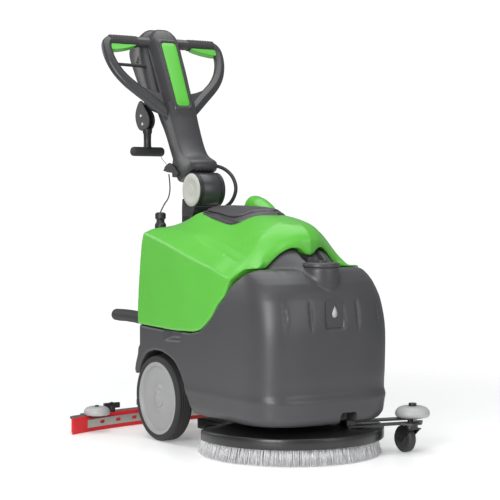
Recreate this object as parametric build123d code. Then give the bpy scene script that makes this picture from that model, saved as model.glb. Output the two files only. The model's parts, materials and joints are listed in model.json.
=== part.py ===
from build123d import *
import math
import os

# Walk-behind wet dry floor scrubber. Millimetres, +Z up, front of the machine towards -Y,
# +X is the machine's left. Every Y below is measured from the drive wheel axle; save()
# moves the finished pieces so that the origin is at the centre of the machine's footprint.

# ---- driving dimensions -------------------------------------------------------------------
AXLE_Y = 84.0            # where the wheel axle lies in the finished frame
RUNNING = 0.05           # radial clearance of a shaft in its bore

BODY_HALF = 215.0        # half width of the machine's body
BODY_REAR = 113.0
BODY_FLOOR = 100.0       # underside of the solution tank
BODY_TOP = 505.0         # top of its front end
FRONT_CORNER = 508.0     # the front face, at the corners
FRONT_MIDDLE = 565.0     # the front face, at the middle
TANK_WALL = 6.0

WHEEL_R = 122.0
WHEEL_OUT = 216.0        # outer face of a wheel
WHEEL_WIDTH = 50.0
RIM_R = 104.0
ARCH_IN = 156.0          # inner face of a wheel arch
AXLE_R = 10.0

BRUSH_X, BRUSH_Y = 6.0, -348.0
BRUSH_R = 252.0
BRUSH_TOP = 48.0
DECK_R = 258.0
DECK_LOW, DECK_HIGH = 50.0, 78.0
WELL_R = 82.0            # well in the solution tank that the brush motor stands in
WELL_TOP = 300.0

HINGE_Y, HINGE_Z = -500.0, 470.0      # tilting axis of the recovery tank
LID_Y, LID_Z = -45.0, 664.0           # hinge of the recovery tank's lid
FILLER_Y = -498.0
FILLER_TOP = 505.3        # the filler collar stands on the tank here

DRUM_Y, DRUM_Z = 88.0, 718.0          # tilting axis of the handle
DRUM_R = 52.0
LEAN = 25.0                           # the handle leans back by this angle
PEDESTAL_HALF = 45.0

LEVER_X = -60.0
LEVER_Y, LEVER_Z = 346.0, 978.0      # pivot of the squeegee lever

ARM_Y, ARM_Z = 92.0, 124.0            # pivot of the squeegee arm
SWIVEL_Y = 262.0                      # the squeegee swivels on the arm here
SQUEEGEE_HALF = 372.0
SQUEEGEE_R = 960.0                    # radius of the squeegee's curve in plan
SQUEEGEE_MID = 318.0                  # Y of its middle
SQUEEGEE_TOP = 48.0
ROLLER_X, ROLLER_Y = 275.0, 250.0

CASTOR_X, CASTOR_Y = 258.0, -562.0    # swivel axis of the castor
CASTOR_R = 37.0
CASTOR_TRAIL = 25.0
BUMPER_X, BUMPER_Y = 290.0, -530.0

os.makedirs("parts", exist_ok=True)


# ---- helpers ------------------------------------------------------------------------------
def save(name, *solids):
    """Move the solids to the finished frame and write them as one sub-part."""
    pieces = [Pos(0, AXLE_Y, 0) * s for solid in solids for s in solid.solids()]
    shape = pieces[0] if len(pieces) == 1 else Compound(children=pieces)
    export_step(shape, f"parts/{name}.step")


def block(x, y, z):
    """A box between (low, high) limits on each axis."""
    centre = Pos(sum(x) / 2, sum(y) / 2, sum(z) / 2)
    return centre * Box(x[1] - x[0], y[1] - y[0], z[1] - z[0])


def mirrored(x, y, z):
    """A box and its mirror image on the other side of the machine."""
    return block(x, y, z) + block((-x[1], -x[0]), y, z)


def rod(start, end, radius):
    """A cylinder between two points."""
    a, b = Vector(*start), Vector(*end)
    plane = Plane(origin=a, z_dir=b - a)
    return extrude(plane * Circle(radius), amount=(b - a).length)


def slab(plane, outline, thickness):
    """An outline drawn on a plane and extruded along the plane's normal."""
    face = plane * Polygon(*outline, align=None)
    return extrude(face, amount=thickness, dir=plane.z_dir)


def prism_x(points, x0, x1):
    """A (Y, Z) outline extruded from x0 to x1."""
    return slab(Plane.YZ.offset(x0), points, x1 - x0)


def prism_z(points, z0, z1):
    """An (X, Y) outline extruded from z0 to z1."""
    return slab(Plane.XY.offset(z0), points, z1 - z0)


def facing_front(y):
    """The X-Z plane at y, with its normal towards the front."""
    return Plane(origin=(0, y, 0), x_dir=(1, 0, 0), z_dir=(0, -1, 0))


def turned(profile):
    """A (radius, height) outline turned about Z."""
    return revolve(Plane.XZ * Polygon(*profile, align=None), axis=Axis.Z)


def wheel_part(profile, side):
    """A (radius, distance inwards from the wheel's outer face) outline turned about the axle."""
    solid = Rot(0, 90 * -side, 0) * turned(profile)
    return Pos(side * WHEEL_OUT, 0, WHEEL_R) * solid


def both_sides(points):
    """Half an outline, given for +X, completed with its mirror image."""
    return points + [(-x, z) for x, z in reversed(points) if x > 0]


# ---- the body: solution tank on its frame -------------------------------------------------
SEAM = [(113, 326), (-34, 321), (-182, 323), (-231, 332), (-288, 369), (-321, 406),
        (-351, 429), (-374, 463), (-404, 481), (-440, 505)]   # the rim under the recovery tank


def body_form(inset):
    """The solution tank's outer form, drawn in from its surface by inset."""
    side = [(BODY_REAR - inset, BODY_FLOOR + 6 + inset), (-500, BODY_FLOOR + inset),
            (-535 + inset, BODY_FLOOR + inset), (-561 + inset, 165), (-567 + inset, 400),
            (-548 + inset, 478 - inset), (-515 + inset, BODY_TOP - inset)]
    side += [(min(y, BODY_REAR - inset), z - inset) for y, z in reversed(SEAM)]
    half = BODY_HALF - inset
    corner, middle = FRONT_CORNER - inset, FRONT_MIDDLE - inset
    plan = [(half, BODY_REAR - inset), (half, -400), (half - 4, -450), (half - 18, -corner + 6),
            (half - 50, -corner - 14), (half - 110, -middle + 18), (70, -middle + 5), (0, -middle)]
    outline = plan + [(-x, y) for x, y in reversed(plan[:-1])]
    return prism_x(side, -BODY_HALF, BODY_HALF) & prism_z(outline, BODY_FLOOR, BODY_TOP)


ARCH = [(126, 0.0), (126, 232), (60, 256), (2, 259), (-98, 236), (-147, 177), (-179, 125),
        (-200, 90), (-210, 0.0)]      # cut above each wheel
HINGE_POCKET = ((118.5, 129.5), (-520.0, -424.0), (448.0, 520.0))
CHEEK = [(112, 500), (84, 530), (54, 549), (30, 549), (12, 538), (0, 537)]


def cheeks():
    """The raised part of the solution tank behind the filler, under the recovery tank's arch."""
    low = [(0.62 * x, 500 + 0.12 * (z - 500)) for x, z in CHEEK]
    rise = loft([facing_front(-412) * Polygon(*both_sides(CHEEK), align=None),
                 facing_front(-474) * Polygon(*both_sides(low), align=None)], ruled=True)
    rise -= block((-30, 30), (-480, -424), (BODY_TOP, 560))
    return rise - block((-54, 54), (-480, -457.5), (BODY_TOP, 560))


def solution_tank():
    well_top = (BRUSH_X, BRUSH_Y, WELL_TOP)
    motor_well = rod((BRUSH_X, BRUSH_Y, 0), well_top, WELL_R)
    well_wall = rod((BRUSH_X, BRUSH_Y, 0), (*well_top[:2], WELL_TOP + TANK_WALL), WELL_R + TANK_WALL)
    water = body_form(TANK_WALL) & block((-BODY_HALF, BODY_HALF), (-600, -272), (0, 600))
    pockets = mirrored(*HINGE_POCKET)
    (px, py, pz) = HINGE_POCKET
    pocket_walls = mirrored((px[0] - 5, px[1] + 5), (py[0] - 5, py[1] + 5), (pz[0] - 5, pz[1]))
    water = water - well_wall - pocket_walls
    shell = body_form(0) + cheeks() - water - motor_well - pockets
    shell -= block((-150, 150), (-262, 104), (156, 600))            # battery bay
    shell -= block((-206, 206), (-262, 104), (282, 600))            # its wider top
    shell -= block((-150, 150), (-156, 140), (0, 150))              # space for the frame
    shell -= rod((-160, 0, WHEEL_R), (160, 0, WHEEL_R), AXLE_R + 1)
    arch_block = prism_x(ARCH, ARCH_IN, BODY_HALF + 1)
    shell -= arch_block + prism_x(ARCH, -BODY_HALF - 1, -ARCH_IN)
    shell -= rod((0, FILLER_Y, 430), (0, FILLER_Y, 560), 40)        # filler mouth
    shell += Pos(0, FILLER_Y, 0) * turned([(38, 440), (43, 440), (49, 455), (49, 500), (38, 500)])
    shell -= block((30, 74), (-580, -528), (90, 121))               # notch for the drain hose
    return shell - mirrored((109, 139), (HINGE_Y - 5, HINGE_Y + 5), (HINGE_Z - 5, HINGE_Z + 5))


def chassis_frame():
    frame = block((-149, 149), (-150, 108), (142, 148))
    frame += mirrored((138, 149), (-60, 60), (102, 143))
    frame -= rod((-160, 0, WHEEL_R), (160, 0, WHEEL_R), AXLE_R)
    frame += mirrored((30, 38), (78, 108), (108, 143))              # ears of the squeegee arm
    frame -= rod((-50, ARM_Y, ARM_Z), (50, ARM_Y, ARM_Z), 6)
    runners = prism_x([(-154, 142), (-154, 99), (-440, 99), (-440, 92), (-146, 92), (-146, 142)],
                      60, 90)
    frame += runners + mirror(runners, about=Plane.YZ)              # carry the brush deck
    foot = block((-PEDESTAL_HALF, PEDESTAL_HALF), (107, 140), (142, 148))
    return frame + foot


def handle_pedestal():
    """Ribbed pillar behind the tanks, with two rings that the handle's drum turns between."""
    outline = [(113.4, 148.2), (113.4, 335), (94, 352), (94, 600), (84, 634), (66, 668), (70, 700), (110, 700), (138, 690),
               (140, 660), (140, 148.2)]
    pillar = prism_x(outline, -PEDESTAL_HALF, PEDESTAL_HALF)
    pillar = pillar - block((-38, 38), (122, 150), (160, 560))
    pillar = pillar - rod((-60, DRUM_Y, DRUM_Z), (60, DRUM_Y, DRUM_Z), DRUM_R)
    for i in range(6):
        y = 98 + i * 7
        grooves = block((PEDESTAL_HALF - 3, PEDESTAL_HALF), (y, y + 3), (360, 640))
        pillar = pillar - grooves - mirror(grooves, about=Plane.YZ)
    ring = rod((31, DRUM_Y, DRUM_Z), (43, DRUM_Y, DRUM_Z), DRUM_R)
    ring -= rod((30, DRUM_Y, DRUM_Z), (44, DRUM_Y, DRUM_Z), 8)
    web = prism_x([(72, 650), (70, 690), (110, 690), (139, 690), (139, 650)], 31, 43)
    arm = ring + web - rod((30, DRUM_Y, DRUM_Z), (44, DRUM_Y, DRUM_Z), 8)
    gland = rod((52, 94.3, 655), (52, 108, 655), 8)
    return pillar + arm + mirror(arm, about=Plane.YZ) + gland


def joint_caps():
    cap = rod((43, DRUM_Y, DRUM_Z), (48, DRUM_Y, DRUM_Z), DRUM_R - 3)
    return cap, mirror(cap, about=Plane.YZ)


def batteries():
    for side in (-1, 1):
        case = Pos(side * 75, -30, 231) * Box(142, 236, 148)
        posts = [Pos(side * 75 + dx, -130, 310) * Cylinder(7, 10) for dx in (-50, 50)]
        yield Pos(0, 0, 0) * (case + posts[0] + posts[1])


def suction_motor():
    bell = [(0, 160), (50, 160), (54, 168), (54, 206), (46, 212), (46, 264), (38, 276), (0, 276)]
    outlet = rod((0, -205, 187), (90, -205, 187), 17)
    return Pos(0, -205, 0) * turned(bell) + outlet


def castor_bracket():
    """Two stacked steel arms that carry the castor and the bumper roller at the front left."""
    upper = prism_z([(80, -486), (92, -462), (284, -512), (302, -524), (304, -540), (288, -548),
                     (262, -540)], 87, 92)
    lower = prism_z([(70, -528), (76, -498), (240, -534), (262, -540), (296, -534), (312, -546),
                     (300, -562), (276, -586), (244, -586), (226, -560)], 79, 84)
    spacer = rod((276, -538, 83), (276, -538, 88), 8)
    inner = prism_z([(74, -516), (84, -470), (104, -474), (98, -522)], 79, 98)
    stud = rod((BUMPER_X, BUMPER_Y, 89), (BUMPER_X, BUMPER_Y, 127), 6)
    head = rod((BUMPER_X, BUMPER_Y, 124.5), (BUMPER_X, BUMPER_Y, 131), 11)
    body = upper + lower + spacer + inner + stud + head
    return body - rod((CASTOR_X, CASTOR_Y, 60), (CASTOR_X, CASTOR_Y, 100), 6)


def filler_neck():
    """Threaded collar around the filler and the wedge-shaped cover behind it."""
    collar = Pos(0, FILLER_Y, 0) * turned([(40, FILLER_TOP), (49, FILLER_TOP), (49, 511), (40, 511)])
    wedge = prism_x([(-455, FILLER_TOP), (-444, 514), (-430, 531), (-424.2, 531), (-424.2, FILLER_TOP)],
                    -26, 26)
    return collar + wedge - cheeks()


def filler_cap():
    """Plug that pulls up out of the collar, with a straight rear edge and a raised back."""
    lid = Pos(0, FILLER_Y, 0) * turned([(0, 504.5), (37, 504.5), (37, 511.6), (51, 511.6), (52, 514),
                                        (52, 519), (46, 524), (0, 524)])
    return lid - block((-60, 60), (-458, -440), (500, 530))


def cable_guide():
    """Waisted gland on the tube that leads the lifting cable down to the squeegee."""
    x, y = -115, 147
    gland = Pos(x, y, 0) * turned([(0, 596), (17, 596), (17, 616), (12, 624), (12, 630), (16, 634),
                                   (16, 648), (10, 652), (0, 652)])
    tube = rod((x, y, 150), (x, y, 597), 6)
    strap = block((x - 14, x + 14), (113, 141.5), (160, 172)) + block((x - 14, x + 14), (113, 141.5),
                                                                      (300, 312))
    return gland + tube + strap


# ---- the recovery tank --------------------------------------------------------------------
# Cross-sections of its top: Y, then Z at the shoulder, the two moulded grooves, the lid's edge
# and the crown, with the half widths they lie at.
CROSS_X = (213.0, 204.0, 172.0, 150.0, 100.0, 0.0)
TOP = [(113, (590, 604, 609, 610, 612, 628)),
       (60, (588, 600, 609, 611, 618, 640)),
       (-48, (562, 574, 604, 612, 648, 658)),
       (-130, (540, 553, 589, 602, 634, 658)),
       (-230, (516, 528, 556, 576, 617, 652)),
       (-330, (490, 503, 524, 547, 592, 640)),
       (-400, (487, 490, 504, 526, 566, 612)),
       (-452, (507, 507.5, 508, 510, 534, 584))]


def seam_height(y):
    """Height of the recovery tank's lower edge at y."""
    for (y0, z0), (y1, z1) in zip(SEAM[:-1], SEAM[1:]):
        if y1 <= y <= y0:
            return z0 + (z1 - z0) * (y - y0) / (y1 - y0)
    return SEAM[-1][1]


def recovery_form(inset):
    """The recovery tank's outer form, drawn in from its surface by inset."""
    stations = sorted({y for y, _ in TOP} | {y for y, _ in SEAM if -452 < y < 113}, reverse=True)
    sections = []
    for y in stations:
        low = seam_height(y) + 1.5 + inset
        heights = [max(top_height(y, i) - inset, low + 2 + 0.5 * i) for i in range(len(CROSS_X))]
        half = [(max(x - inset, 0), z) for x, z in zip(CROSS_X, heights)]
        outline = [(CROSS_X[0] - inset, low)] + half
        sections.append(facing_front(y) * Polygon(*both_sides(outline), align=None))
    form = loft(sections, ruled=True)
    rear = prism_x([(113 - inset, 300), (113 - inset, 372), (99 - inset, 504), (86 - inset, 582),
                    (58 - inset, 615), (40, 700), (-460 + inset, 700), (-460 + inset, 300)],
                   -BODY_HALF, BODY_HALF)
    return form & rear


def top_height(y, i):
    for (y0, row0), (y1, row1) in zip(TOP[:-1], TOP[1:]):
        if y1 <= y <= y0:
            return row0[i] + (row1[i] - row0[i]) * (y - y0) / (y1 - y0)
    return TOP[-1][1][i]


DOME_X = 134.0
LID_HALF = 100.0


def dome(inset):
    """Rounded housing of the suction inlet, on the left of the lid."""
    rows = [(72, 22, 690), (50, 31, 702), (0, 33, 698), (-50, 29, 676), (-88, 18, 650)]
    if inset:
        rows = rows[1:-1]
    sections = []
    for y, half, z in rows:
        half, z = half - inset, z - inset
        outline = [(half, 600), (half, z - 30), (0.7 * half, z - 8), (0, z)]
        sections.append(Pos(DOME_X, 0, 0) * facing_front(y) * Polygon(*both_sides(outline), align=None))
    return loft(sections, ruled=True)


def lug(side):
    """Hinge lug that reaches from the tank's front edge into the solution tank's pocket."""
    x = side * 124
    outline = [(-436, 524), (-432, 508), (-446, 492), (-490, 461), (-504, 461), (-510, 470),
               (-506, 479), (-494, 481), (-464, 500), (-452, 524)]
    return prism_x(outline, x - 4, x + 4) - rod((x - 9, HINGE_Y, HINGE_Z), (x + 9, HINGE_Y, HINGE_Z),
                                                5 + RUNNING)


def recovery_tank():
    arch = [(120, 450), (120, 508), (88, 537), (58, 557), (30, 557), (12, 546), (0, 545)]
    tunnel = slab(facing_front(-370), both_sides(arch), 110)
    tunnel_wall = slab(facing_front(-365), both_sides([(x and x + 5, z + 5) for x, z in arch]), 110)
    notch = block((-56, 76), (26, 140), (300, 720))
    notch_wall = block((-62, 82), (20, 140), (300, 720))
    inside = recovery_form(5) + dome(5) - tunnel_wall - notch_wall
    shell = recovery_form(0) + dome(0) - tunnel - notch - inside
    shell = shell - prism_z([(80, -70), (80, -222), (0, -262), (-80, -222), (-80, -70)], 560, 720)
    shell = shell - rod((DOME_X, 40, 655), (DOME_X, 80, 655), 15)
    ears = mirrored((36.6, 42), (LID_Y - 5, LID_Y + 9), (650, LID_Z + 9))
    pin = rod((-42, LID_Y, LID_Z + 4), (42, LID_Y, LID_Z + 4), 2.5)
    return shell + lug(-1) + lug(1) + ears + pin


def tank_grip():
    """Rubber-covered lifting grip that stands out of the tank's rear right corner."""
    bar = rod((-190, 116, 342), (-190, 286, 342), 17) + Pos(-190, 286, 342) * Sphere(17)
    root = rod((-190, 113.2, 342), (-190, 130, 342), 20)
    for i in range(6):
        bar -= rod((-215, 150 + i * 22, 320), (-165, 150 + i * 22, 320), 7)
    return bar + root


def tank_inlet():
    """Spigot for the suction hose, at the back of the domed housing."""
    x, z = DOME_X, 655
    return rod((x, 44, z), (x, 106, z), 14.7) - rod((x, 43, z), (x, 107, z), 11)


def float_cage():
    """Basket with the float that shuts the suction off when the tank is full."""
    x, y = 110, -30
    basket = Pos(x, y, 0) * turned([(0, 530), (24, 530), (24, 608), (20, 608), (20, 534), (0, 534)])
    for angle in range(0, 180, 45):
        basket -= Pos(x, y, 570) * Rot(0, 0, angle) * Box(60, 6, 50)
    return basket, Pos(x, y, 556) * Sphere(16)


LID_EDGE = [(-60, LID_HALF, 653, 664), (-130, LID_HALF, 640, 664), (-228, LID_HALF, 625, 660),
            (-296, 6, 648, 650)]


def lid_layer(low, high, shrink):
    """A crowned, leaf-shaped layer of the lid between two heights above its seat."""
    sections = []
    for y, half, edge, crown in LID_EDGE:
        half = half * shrink
        y = y + (1 - shrink) * 110 if y < -250 else y
        outline = [(half, edge + low), (half, edge + high), (0, crown + high)]
        outline += [(-x, z) for x, z in reversed(outline[:-1])] + [(0, crown + low)]
        sections.append(facing_front(y) * Polygon(*outline, align=None))
    return loft(sections, ruled=True)


def tank_lid():
    hinge = rod((-36, LID_Y, LID_Z + 4), (36, LID_Y, LID_Z + 4), 5)
    arm = block((-36, 36), (LID_Y - 22, LID_Y), (LID_Z + 1, LID_Z + 8))
    lid = lid_layer(4.2, 9, 1.0) + lid_layer(8.9, 15, 0.86) + hinge + arm
    return lid - rod((-37, LID_Y, LID_Z + 4), (37, LID_Y, LID_Z + 4), 2.5 + RUNNING)


# ---- the handle ---------------------------------------------------------------------------
HANDLE = Plane(origin=(0, DRUM_Y, DRUM_Z), x_dir=(1, 0, 0),
               z_dir=(0, -math.cos(math.radians(LEAN)), math.sin(math.radians(LEAN))))
# In the handle's plane, x is the machine's X, y runs up the column, z comes out of its front.
GRIP_LEVEL = 516.0
GRIP_DEPTH = -32.0
GRIP_R = 17.0
GRIP_CORE_R = 9.0


def on_handle(outline, low, high):
    """An (X, up the column) outline extruded between two depths of the handle's plane."""
    return slab(HANDLE.offset(low), outline, high - low)


def on_handle_point(x, up, out):
    return HANDLE.from_local_coords(Vector(x, up, out))


def handle_rod(start, end, radius):
    a, b = on_handle_point(*start), on_handle_point(*end)
    return rod(tuple(a), tuple(b), radius)


def on_side(points, x0, x1):
    """An (up the column, out of its front) outline extruded along the machine's X."""
    lean = math.radians(LEAN)
    outline = [(DRUM_Y + up * math.sin(lean) - out * math.cos(lean),
                DRUM_Z + up * math.cos(lean) + out * math.sin(lean)) for up, out in points]
    return prism_x(outline, x0, x1)


def handle_column():
    """Hollow neck between the drum and the head."""
    sections = [(56, 44, 24, -66), (110, 45, 4, -67), (200, 45, 0, -72), (262, 46, -2, -80)]
    faces = []
    for up, half, front, back in sections:
        plane = Plane(origin=on_handle_point(0, up, 0), x_dir=(1, 0, 0),
                      z_dir=on_handle_point(0, 1, 0) - on_handle_point(0, 0, 0))
        faces.append(plane * Polygon((-half, -front), (half, -front), (half, -back),
                                     (-half, -back), align=None))
    neck = loft(faces, ruled=True)
    inner = on_handle([(-39, 70), (39, 70), (39, 258), (-39, 258)], -62, -7)
    neck = neck - inner - rod((-60, DRUM_Y, DRUM_Z), (60, DRUM_Y, DRUM_Z), DRUM_R + 2.5)
    for i in range(5):
        x = -26 + i * 13
        neck += on_handle([(x - 3.5, 44), (x + 3.5, 44), (x + 3.5, 72), (x - 3.5, 72)], -10, 10)
    gland = rod((51, 126.6, 793), (51, 140, 794), 8)
    return neck - rod((-60, DRUM_Y, DRUM_Z), (60, DRUM_Y, DRUM_Z), DRUM_R) + gland


def joint_drum():
    drum = rod((-30.4, DRUM_Y, DRUM_Z), (30.4, DRUM_Y, DRUM_Z), DRUM_R)
    return drum - rod((-31, DRUM_Y, DRUM_Z), (31, DRUM_Y, DRUM_Z), 8 + RUNNING)


LOOP_OUT = [(198, 531), (212, 505), (215, 470), (210, 440), (196, 405), (170, 372), (136, 342),
            (98, 312), (70, 283), (50, 262)]
LOOP_IN = [(50, 318), (72, 336), (104, 358), (140, 384), (163, 412), (176, 445), (182, 478)]
SHIELD = [(48, 262), (50, 330), (52, 430), (54, 500), (50, 525), (38, 546), (20, 559), (0, 563)]


def handle_frame():
    """The head's front shield with a closed loop on each side."""
    shield = on_handle(both_sides(SHIELD), -34, -16)
    shield += on_handle(both_sides([(x * 0.92, max(up - 13, 262)) for x, up in SHIELD]), -17, 4)
    loop = on_handle([(50, 531)] + LOOP_OUT + LOOP_IN + [(183, 498), (50, 498)], -46, -18)
    frame = shield + loop + mirror(loop, about=Plane.YZ)
    recess = on_handle([(-28, 274), (28, 274), (28, 498), (-28, 498)], 1, 6)
    hollow = on_handle([(-40, 270), (40, 270), (40, 500), (-40, 500)], -30, -4)
    frame = frame - recess - hollow
    for side in (-1, 1):
        frame = frame - grip_bar(side, 92, 190, GRIP_R) + grip_bar(side, 90, 192, GRIP_CORE_R)
    return frame


def grip_bar(side, inner, outer, radius):
    """A round bar along one grip, between two distances from the machine's middle."""
    return handle_rod((side * inner, GRIP_LEVEL, GRIP_DEPTH), (side * outer, GRIP_LEVEL, GRIP_DEPTH),
                      radius)


def handle_grips():
    """Ribbed rubber grips moulded over the upper bars of the loops."""
    return [grip_bar(side, 92, 190, GRIP_R) - grip_bar(side, 91, 191, GRIP_CORE_R)
            for side in (-1, 1)]


PANEL_LOW, PANEL_HIGH = (434, -119.2), (502, -133.7)      # the control panel's seat, side view
HOUSING = [(300, -34.3), (545, -34.3), (549, -98), (532, -138), (506, -134.5), (430, -118.3),
           (330, -98), (300, -72)]


def panel_plane():
    """The control panel's seat: x along the machine's X, y up the panel, z towards the user."""
    low, high = on_handle_point(0, *PANEL_LOW), on_handle_point(0, *PANEL_HIGH)
    across = Vector(-1, 0, 0)
    return Plane(origin=(low + high) * 0.5, x_dir=across, z_dir=across.cross(high - low))


ROCKERS = {"brush_switch": 24.0, "vacuum_switch": -24.0}  # across the panel
ROCKER_UP, KEY_UP = 10.0, -16.0                           # up the panel


def rectangle(x, y, wide, high):
    return [(x - wide / 2, y - high / 2), (x + wide / 2, y - high / 2),
            (x + wide / 2, y + high / 2), (x - wide / 2, y + high / 2)]


def panel_holes(clear):
    """What the rockers and the key need, cut through the panel and the housing's wall."""
    seat = panel_plane().offset(-12)
    holes = slab(seat, rectangle(0, KEY_UP, 2 * clear + 10, 2 * clear + 10), 20)
    for x in ROCKERS.values():
        holes += slab(seat, rectangle(x, ROCKER_UP, 16 + 2 * clear, 26 + 2 * clear), 20)
    return holes


def rear_housing():
    """Control housing behind the shield, with the ear that the squeegee lever hangs from."""
    body = on_side(HOUSING, -74, 74)
    inside = on_side([(310, -40), (538, -40), (542, -96), (528, -130), (504, -128), (430, -112),
                      (334, -92), (310, -70)], -68, 68)
    ear = on_side([(325, -96), (364, -104), (358, -132), (345, -138), (334, -134)], -46, -32)
    pin = rod((LEVER_X - 12, LEVER_Y, LEVER_Z), (-32, LEVER_Y, LEVER_Z), 6)
    loops = on_handle([(50, 531)] + LOOP_OUT + LOOP_IN + [(183, 498), (50, 498)], -46.3, -17)
    slots = on_handle([(50, 478), (80, 478), (80, 498.2), (50, 498.2)], -50, -20)
    body = body - inside - loops - mirror(loops, about=Plane.YZ) - slots
    return body - mirror(slots, about=Plane.YZ) - panel_holes(2) + ear + pin


def control_panel():
    plate = slab(panel_plane().offset(0.2), rectangle(0, 0, 104, 66), 3)
    key_hole = slab(panel_plane().offset(-12), rectangle(0, KEY_UP, 12, 12), 20)
    return plate - panel_holes(0.5) - key_hole


def rocker_switch(x):
    """A rocker that tips about the machine's X axis in its window."""
    seat = panel_plane()
    rocker = slab(seat.offset(-5), rectangle(x, ROCKER_UP, 16, 24), 10)
    return rocker - slab(seat.offset(3.6), rectangle(x, ROCKER_UP, 20, 9), 4)


def key_switch():
    seat = panel_plane()
    barrel = seat.offset(-6) * Pos(0, KEY_UP, 0) * Cylinder(5.5, 12, align=(
        Align.CENTER, Align.CENTER, Align.MIN))
    return barrel + slab(seat.offset(5.9), rectangle(0, KEY_UP, 2.5, 10), 16)


def cross_rod():
    return handle_rod((-169.5, 436, -34), (-74.2, 436, -38), 5)


def cable_hook():
    """Bracket at the foot of the column with the hook that the lifting cable runs over."""
    arm = prism_x([(238, 777), (228, 790), (205, 800), (176, 790), (150, 768), (170, 756),
                   (184, 757), (186, 770), (212, 772)], -52, -45.2)
    foot = prism_x([(196, 796), (150, 776), (150, 790), (190, 816)], -45.3, -30)
    return arm + (foot - handle_column())


def drive_triggers():
    """Two paddles under the grips, joined by the shaft that they turn on."""
    outline = [(78, 495), (180, 495), (178, 477), (120, 481), (84, 487)]
    paddle = on_handle(outline, -42, -25)
    stem = on_handle([(60, 484), (60, 494), (80, 494), (80, 484)], -39, -29)
    return paddle + stem, mirror(paddle + stem, about=Plane.YZ)


def squeegee_lever():
    """Forked lever that hangs from the housing and lifts the squeegee through the cable."""
    x = (LEVER_X - 9, LEVER_X + 9)
    outline = [(336, 990), (346, 994), (357, 989), (372, 968), (376, 950), (366, 916), (342, 903),
               (337, 851.6), (303, 851.6), (308, 905), (292, 926), (302, 950), (326, 972)]
    plate = prism_x(outline, *x)
    plate -= rod((x[0] - 1, LEVER_Y, LEVER_Z), (x[1] + 1, LEVER_Y, LEVER_Z), 6 + RUNNING)
    plate -= rod((x[0] - 1, 340, 948), (x[1] + 1, 340, 948), 8)
    return plate - rod((x[0] - 1, 330, 922), (x[1] + 1, 330, 922), 5)


def lever_grip():
    grip = rod((LEVER_X - 54, 320, 837), (LEVER_X + 54, 320, 837), 14.5)
    return fillet(grip.edges(), 4)


# ---- the squeegee -------------------------------------------------------------------------
def curved_bar(front, back, low, high, half):
    """A bar that follows the squeegee's curve, between two distances in front of or behind it."""
    centre_y = SQUEEGEE_MID - SQUEEGEE_R
    ring = Pos(0, centre_y, low) * extrude(
        Circle(SQUEEGEE_R + back) - Circle(SQUEEGEE_R + front), amount=high - low)
    return ring & block((-half, half), (0, 500), (low, high))


def squeegee_body():
    plate = curved_bar(-11, 22, 41, SQUEEGEE_TOP, 352)
    web = curved_bar(-11, 11, 20, 41.2, 340)
    post = block((-26.5, 26.5), (SWIVEL_Y + 19, SWIVEL_Y + 73), (47, 58))
    wings = block((-300, -255), (ROLLER_Y - 10, ROLLER_Y + 60), (43, SQUEEGEE_TOP))
    wings += mirror(wings, about=Plane.YZ)
    studs = [rod((s * ROLLER_X, ROLLER_Y, 47), (s * ROLLER_X, ROLLER_Y, 78), 6) for s in (-1, 1)]
    body = plate + web + post + wings + studs[0] + studs[1]
    body -= rod((0, SWIVEL_Y, 30), (0, SWIVEL_Y, 70), 7)
    tongue = block((-16, 16), (SWIVEL_Y - 16, SWIVEL_Y + 30), (47, 54))
    body += tongue - rod((0, SWIVEL_Y, 30), (0, SWIVEL_Y, 70), 8 + RUNNING)
    return body - block((-19.5, 19.5), (SWIVEL_Y + 24.5, SWIVEL_Y + 63.5), (19, 70))   # nozzle's seat


def squeegee_blades():
    front = curved_bar(-16, -11.2, 0, SQUEEGEE_TOP, SQUEEGEE_HALF)
    front -= mirrored((254.5, 300.5), (200, 400), (42.8, 60))       # room for the roller wings
    front -= block((-27, 27), (200, 400), (40.8, 60))
    rear = curved_bar(11.2, 16, 0, 40.8, SQUEEGEE_HALF - 10)
    return front, rear


def blade_straps():
    front = curved_bar(-18.4, -16.2, 12, 36, 292)
    rear = curved_bar(16.2, 18.4, 12, 36, 300)
    for i in range(-4, 5):
        slot = block((i * 62 - 8, i * 62 + 8), (100, 500), (20, 30))
        front, rear = front - slot, rear - slot
    return front, rear


def suction_nozzle():
    """Stub above the squeegee that the suction hose plugs into."""
    x, y = 0, SWIVEL_Y + 44
    tube = turned([(15, 43), (18.9, 43), (18.9, 58.2), (28.5, 58.2), (28.5, 64), (21, 64), (21, 96),
                   (19, 100), (15, 100)])
    return Pos(x, y, 0) * tube


def wing_knobs():
    for x in (-200, -75, 75, 200):
        y = SQUEEGEE_MID - SQUEEGEE_R + math.sqrt(SQUEEGEE_R ** 2 - x ** 2)
        hub = rod((x, y, SQUEEGEE_TOP + 0.1), (x, y, 66), 11)
        yield hub + block((x - 26, x + 26), (y - 5, y + 5), (58, 74)) + rod((x, y, 66), (x, y, 76), 5)


def squeegee_roller(side):
    profile = [(6 + RUNNING, 49), (34, 49), (39, 54), (38, 64), (30, 72), (14, 75), (6 + RUNNING, 75)]
    return Pos(side * ROLLER_X, ROLLER_Y, 0) * turned(profile)


def squeegee_arm():
    """Fork from the chassis to the swivel bolt of the squeegee."""
    bar = prism_x([(80, 116), (80, 134), (104, 134), (230, 76), (272, 66), (272, 55), (240, 55),
                   (226, 60), (96, 116)], -22, 22)
    bar -= rod((-30, ARM_Y, ARM_Z), (30, ARM_Y, ARM_Z), 6 + RUNNING)
    bolt = rod((0, SWIVEL_Y, 43), (0, SWIVEL_Y, 78), 8)
    return bar + bolt


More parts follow.
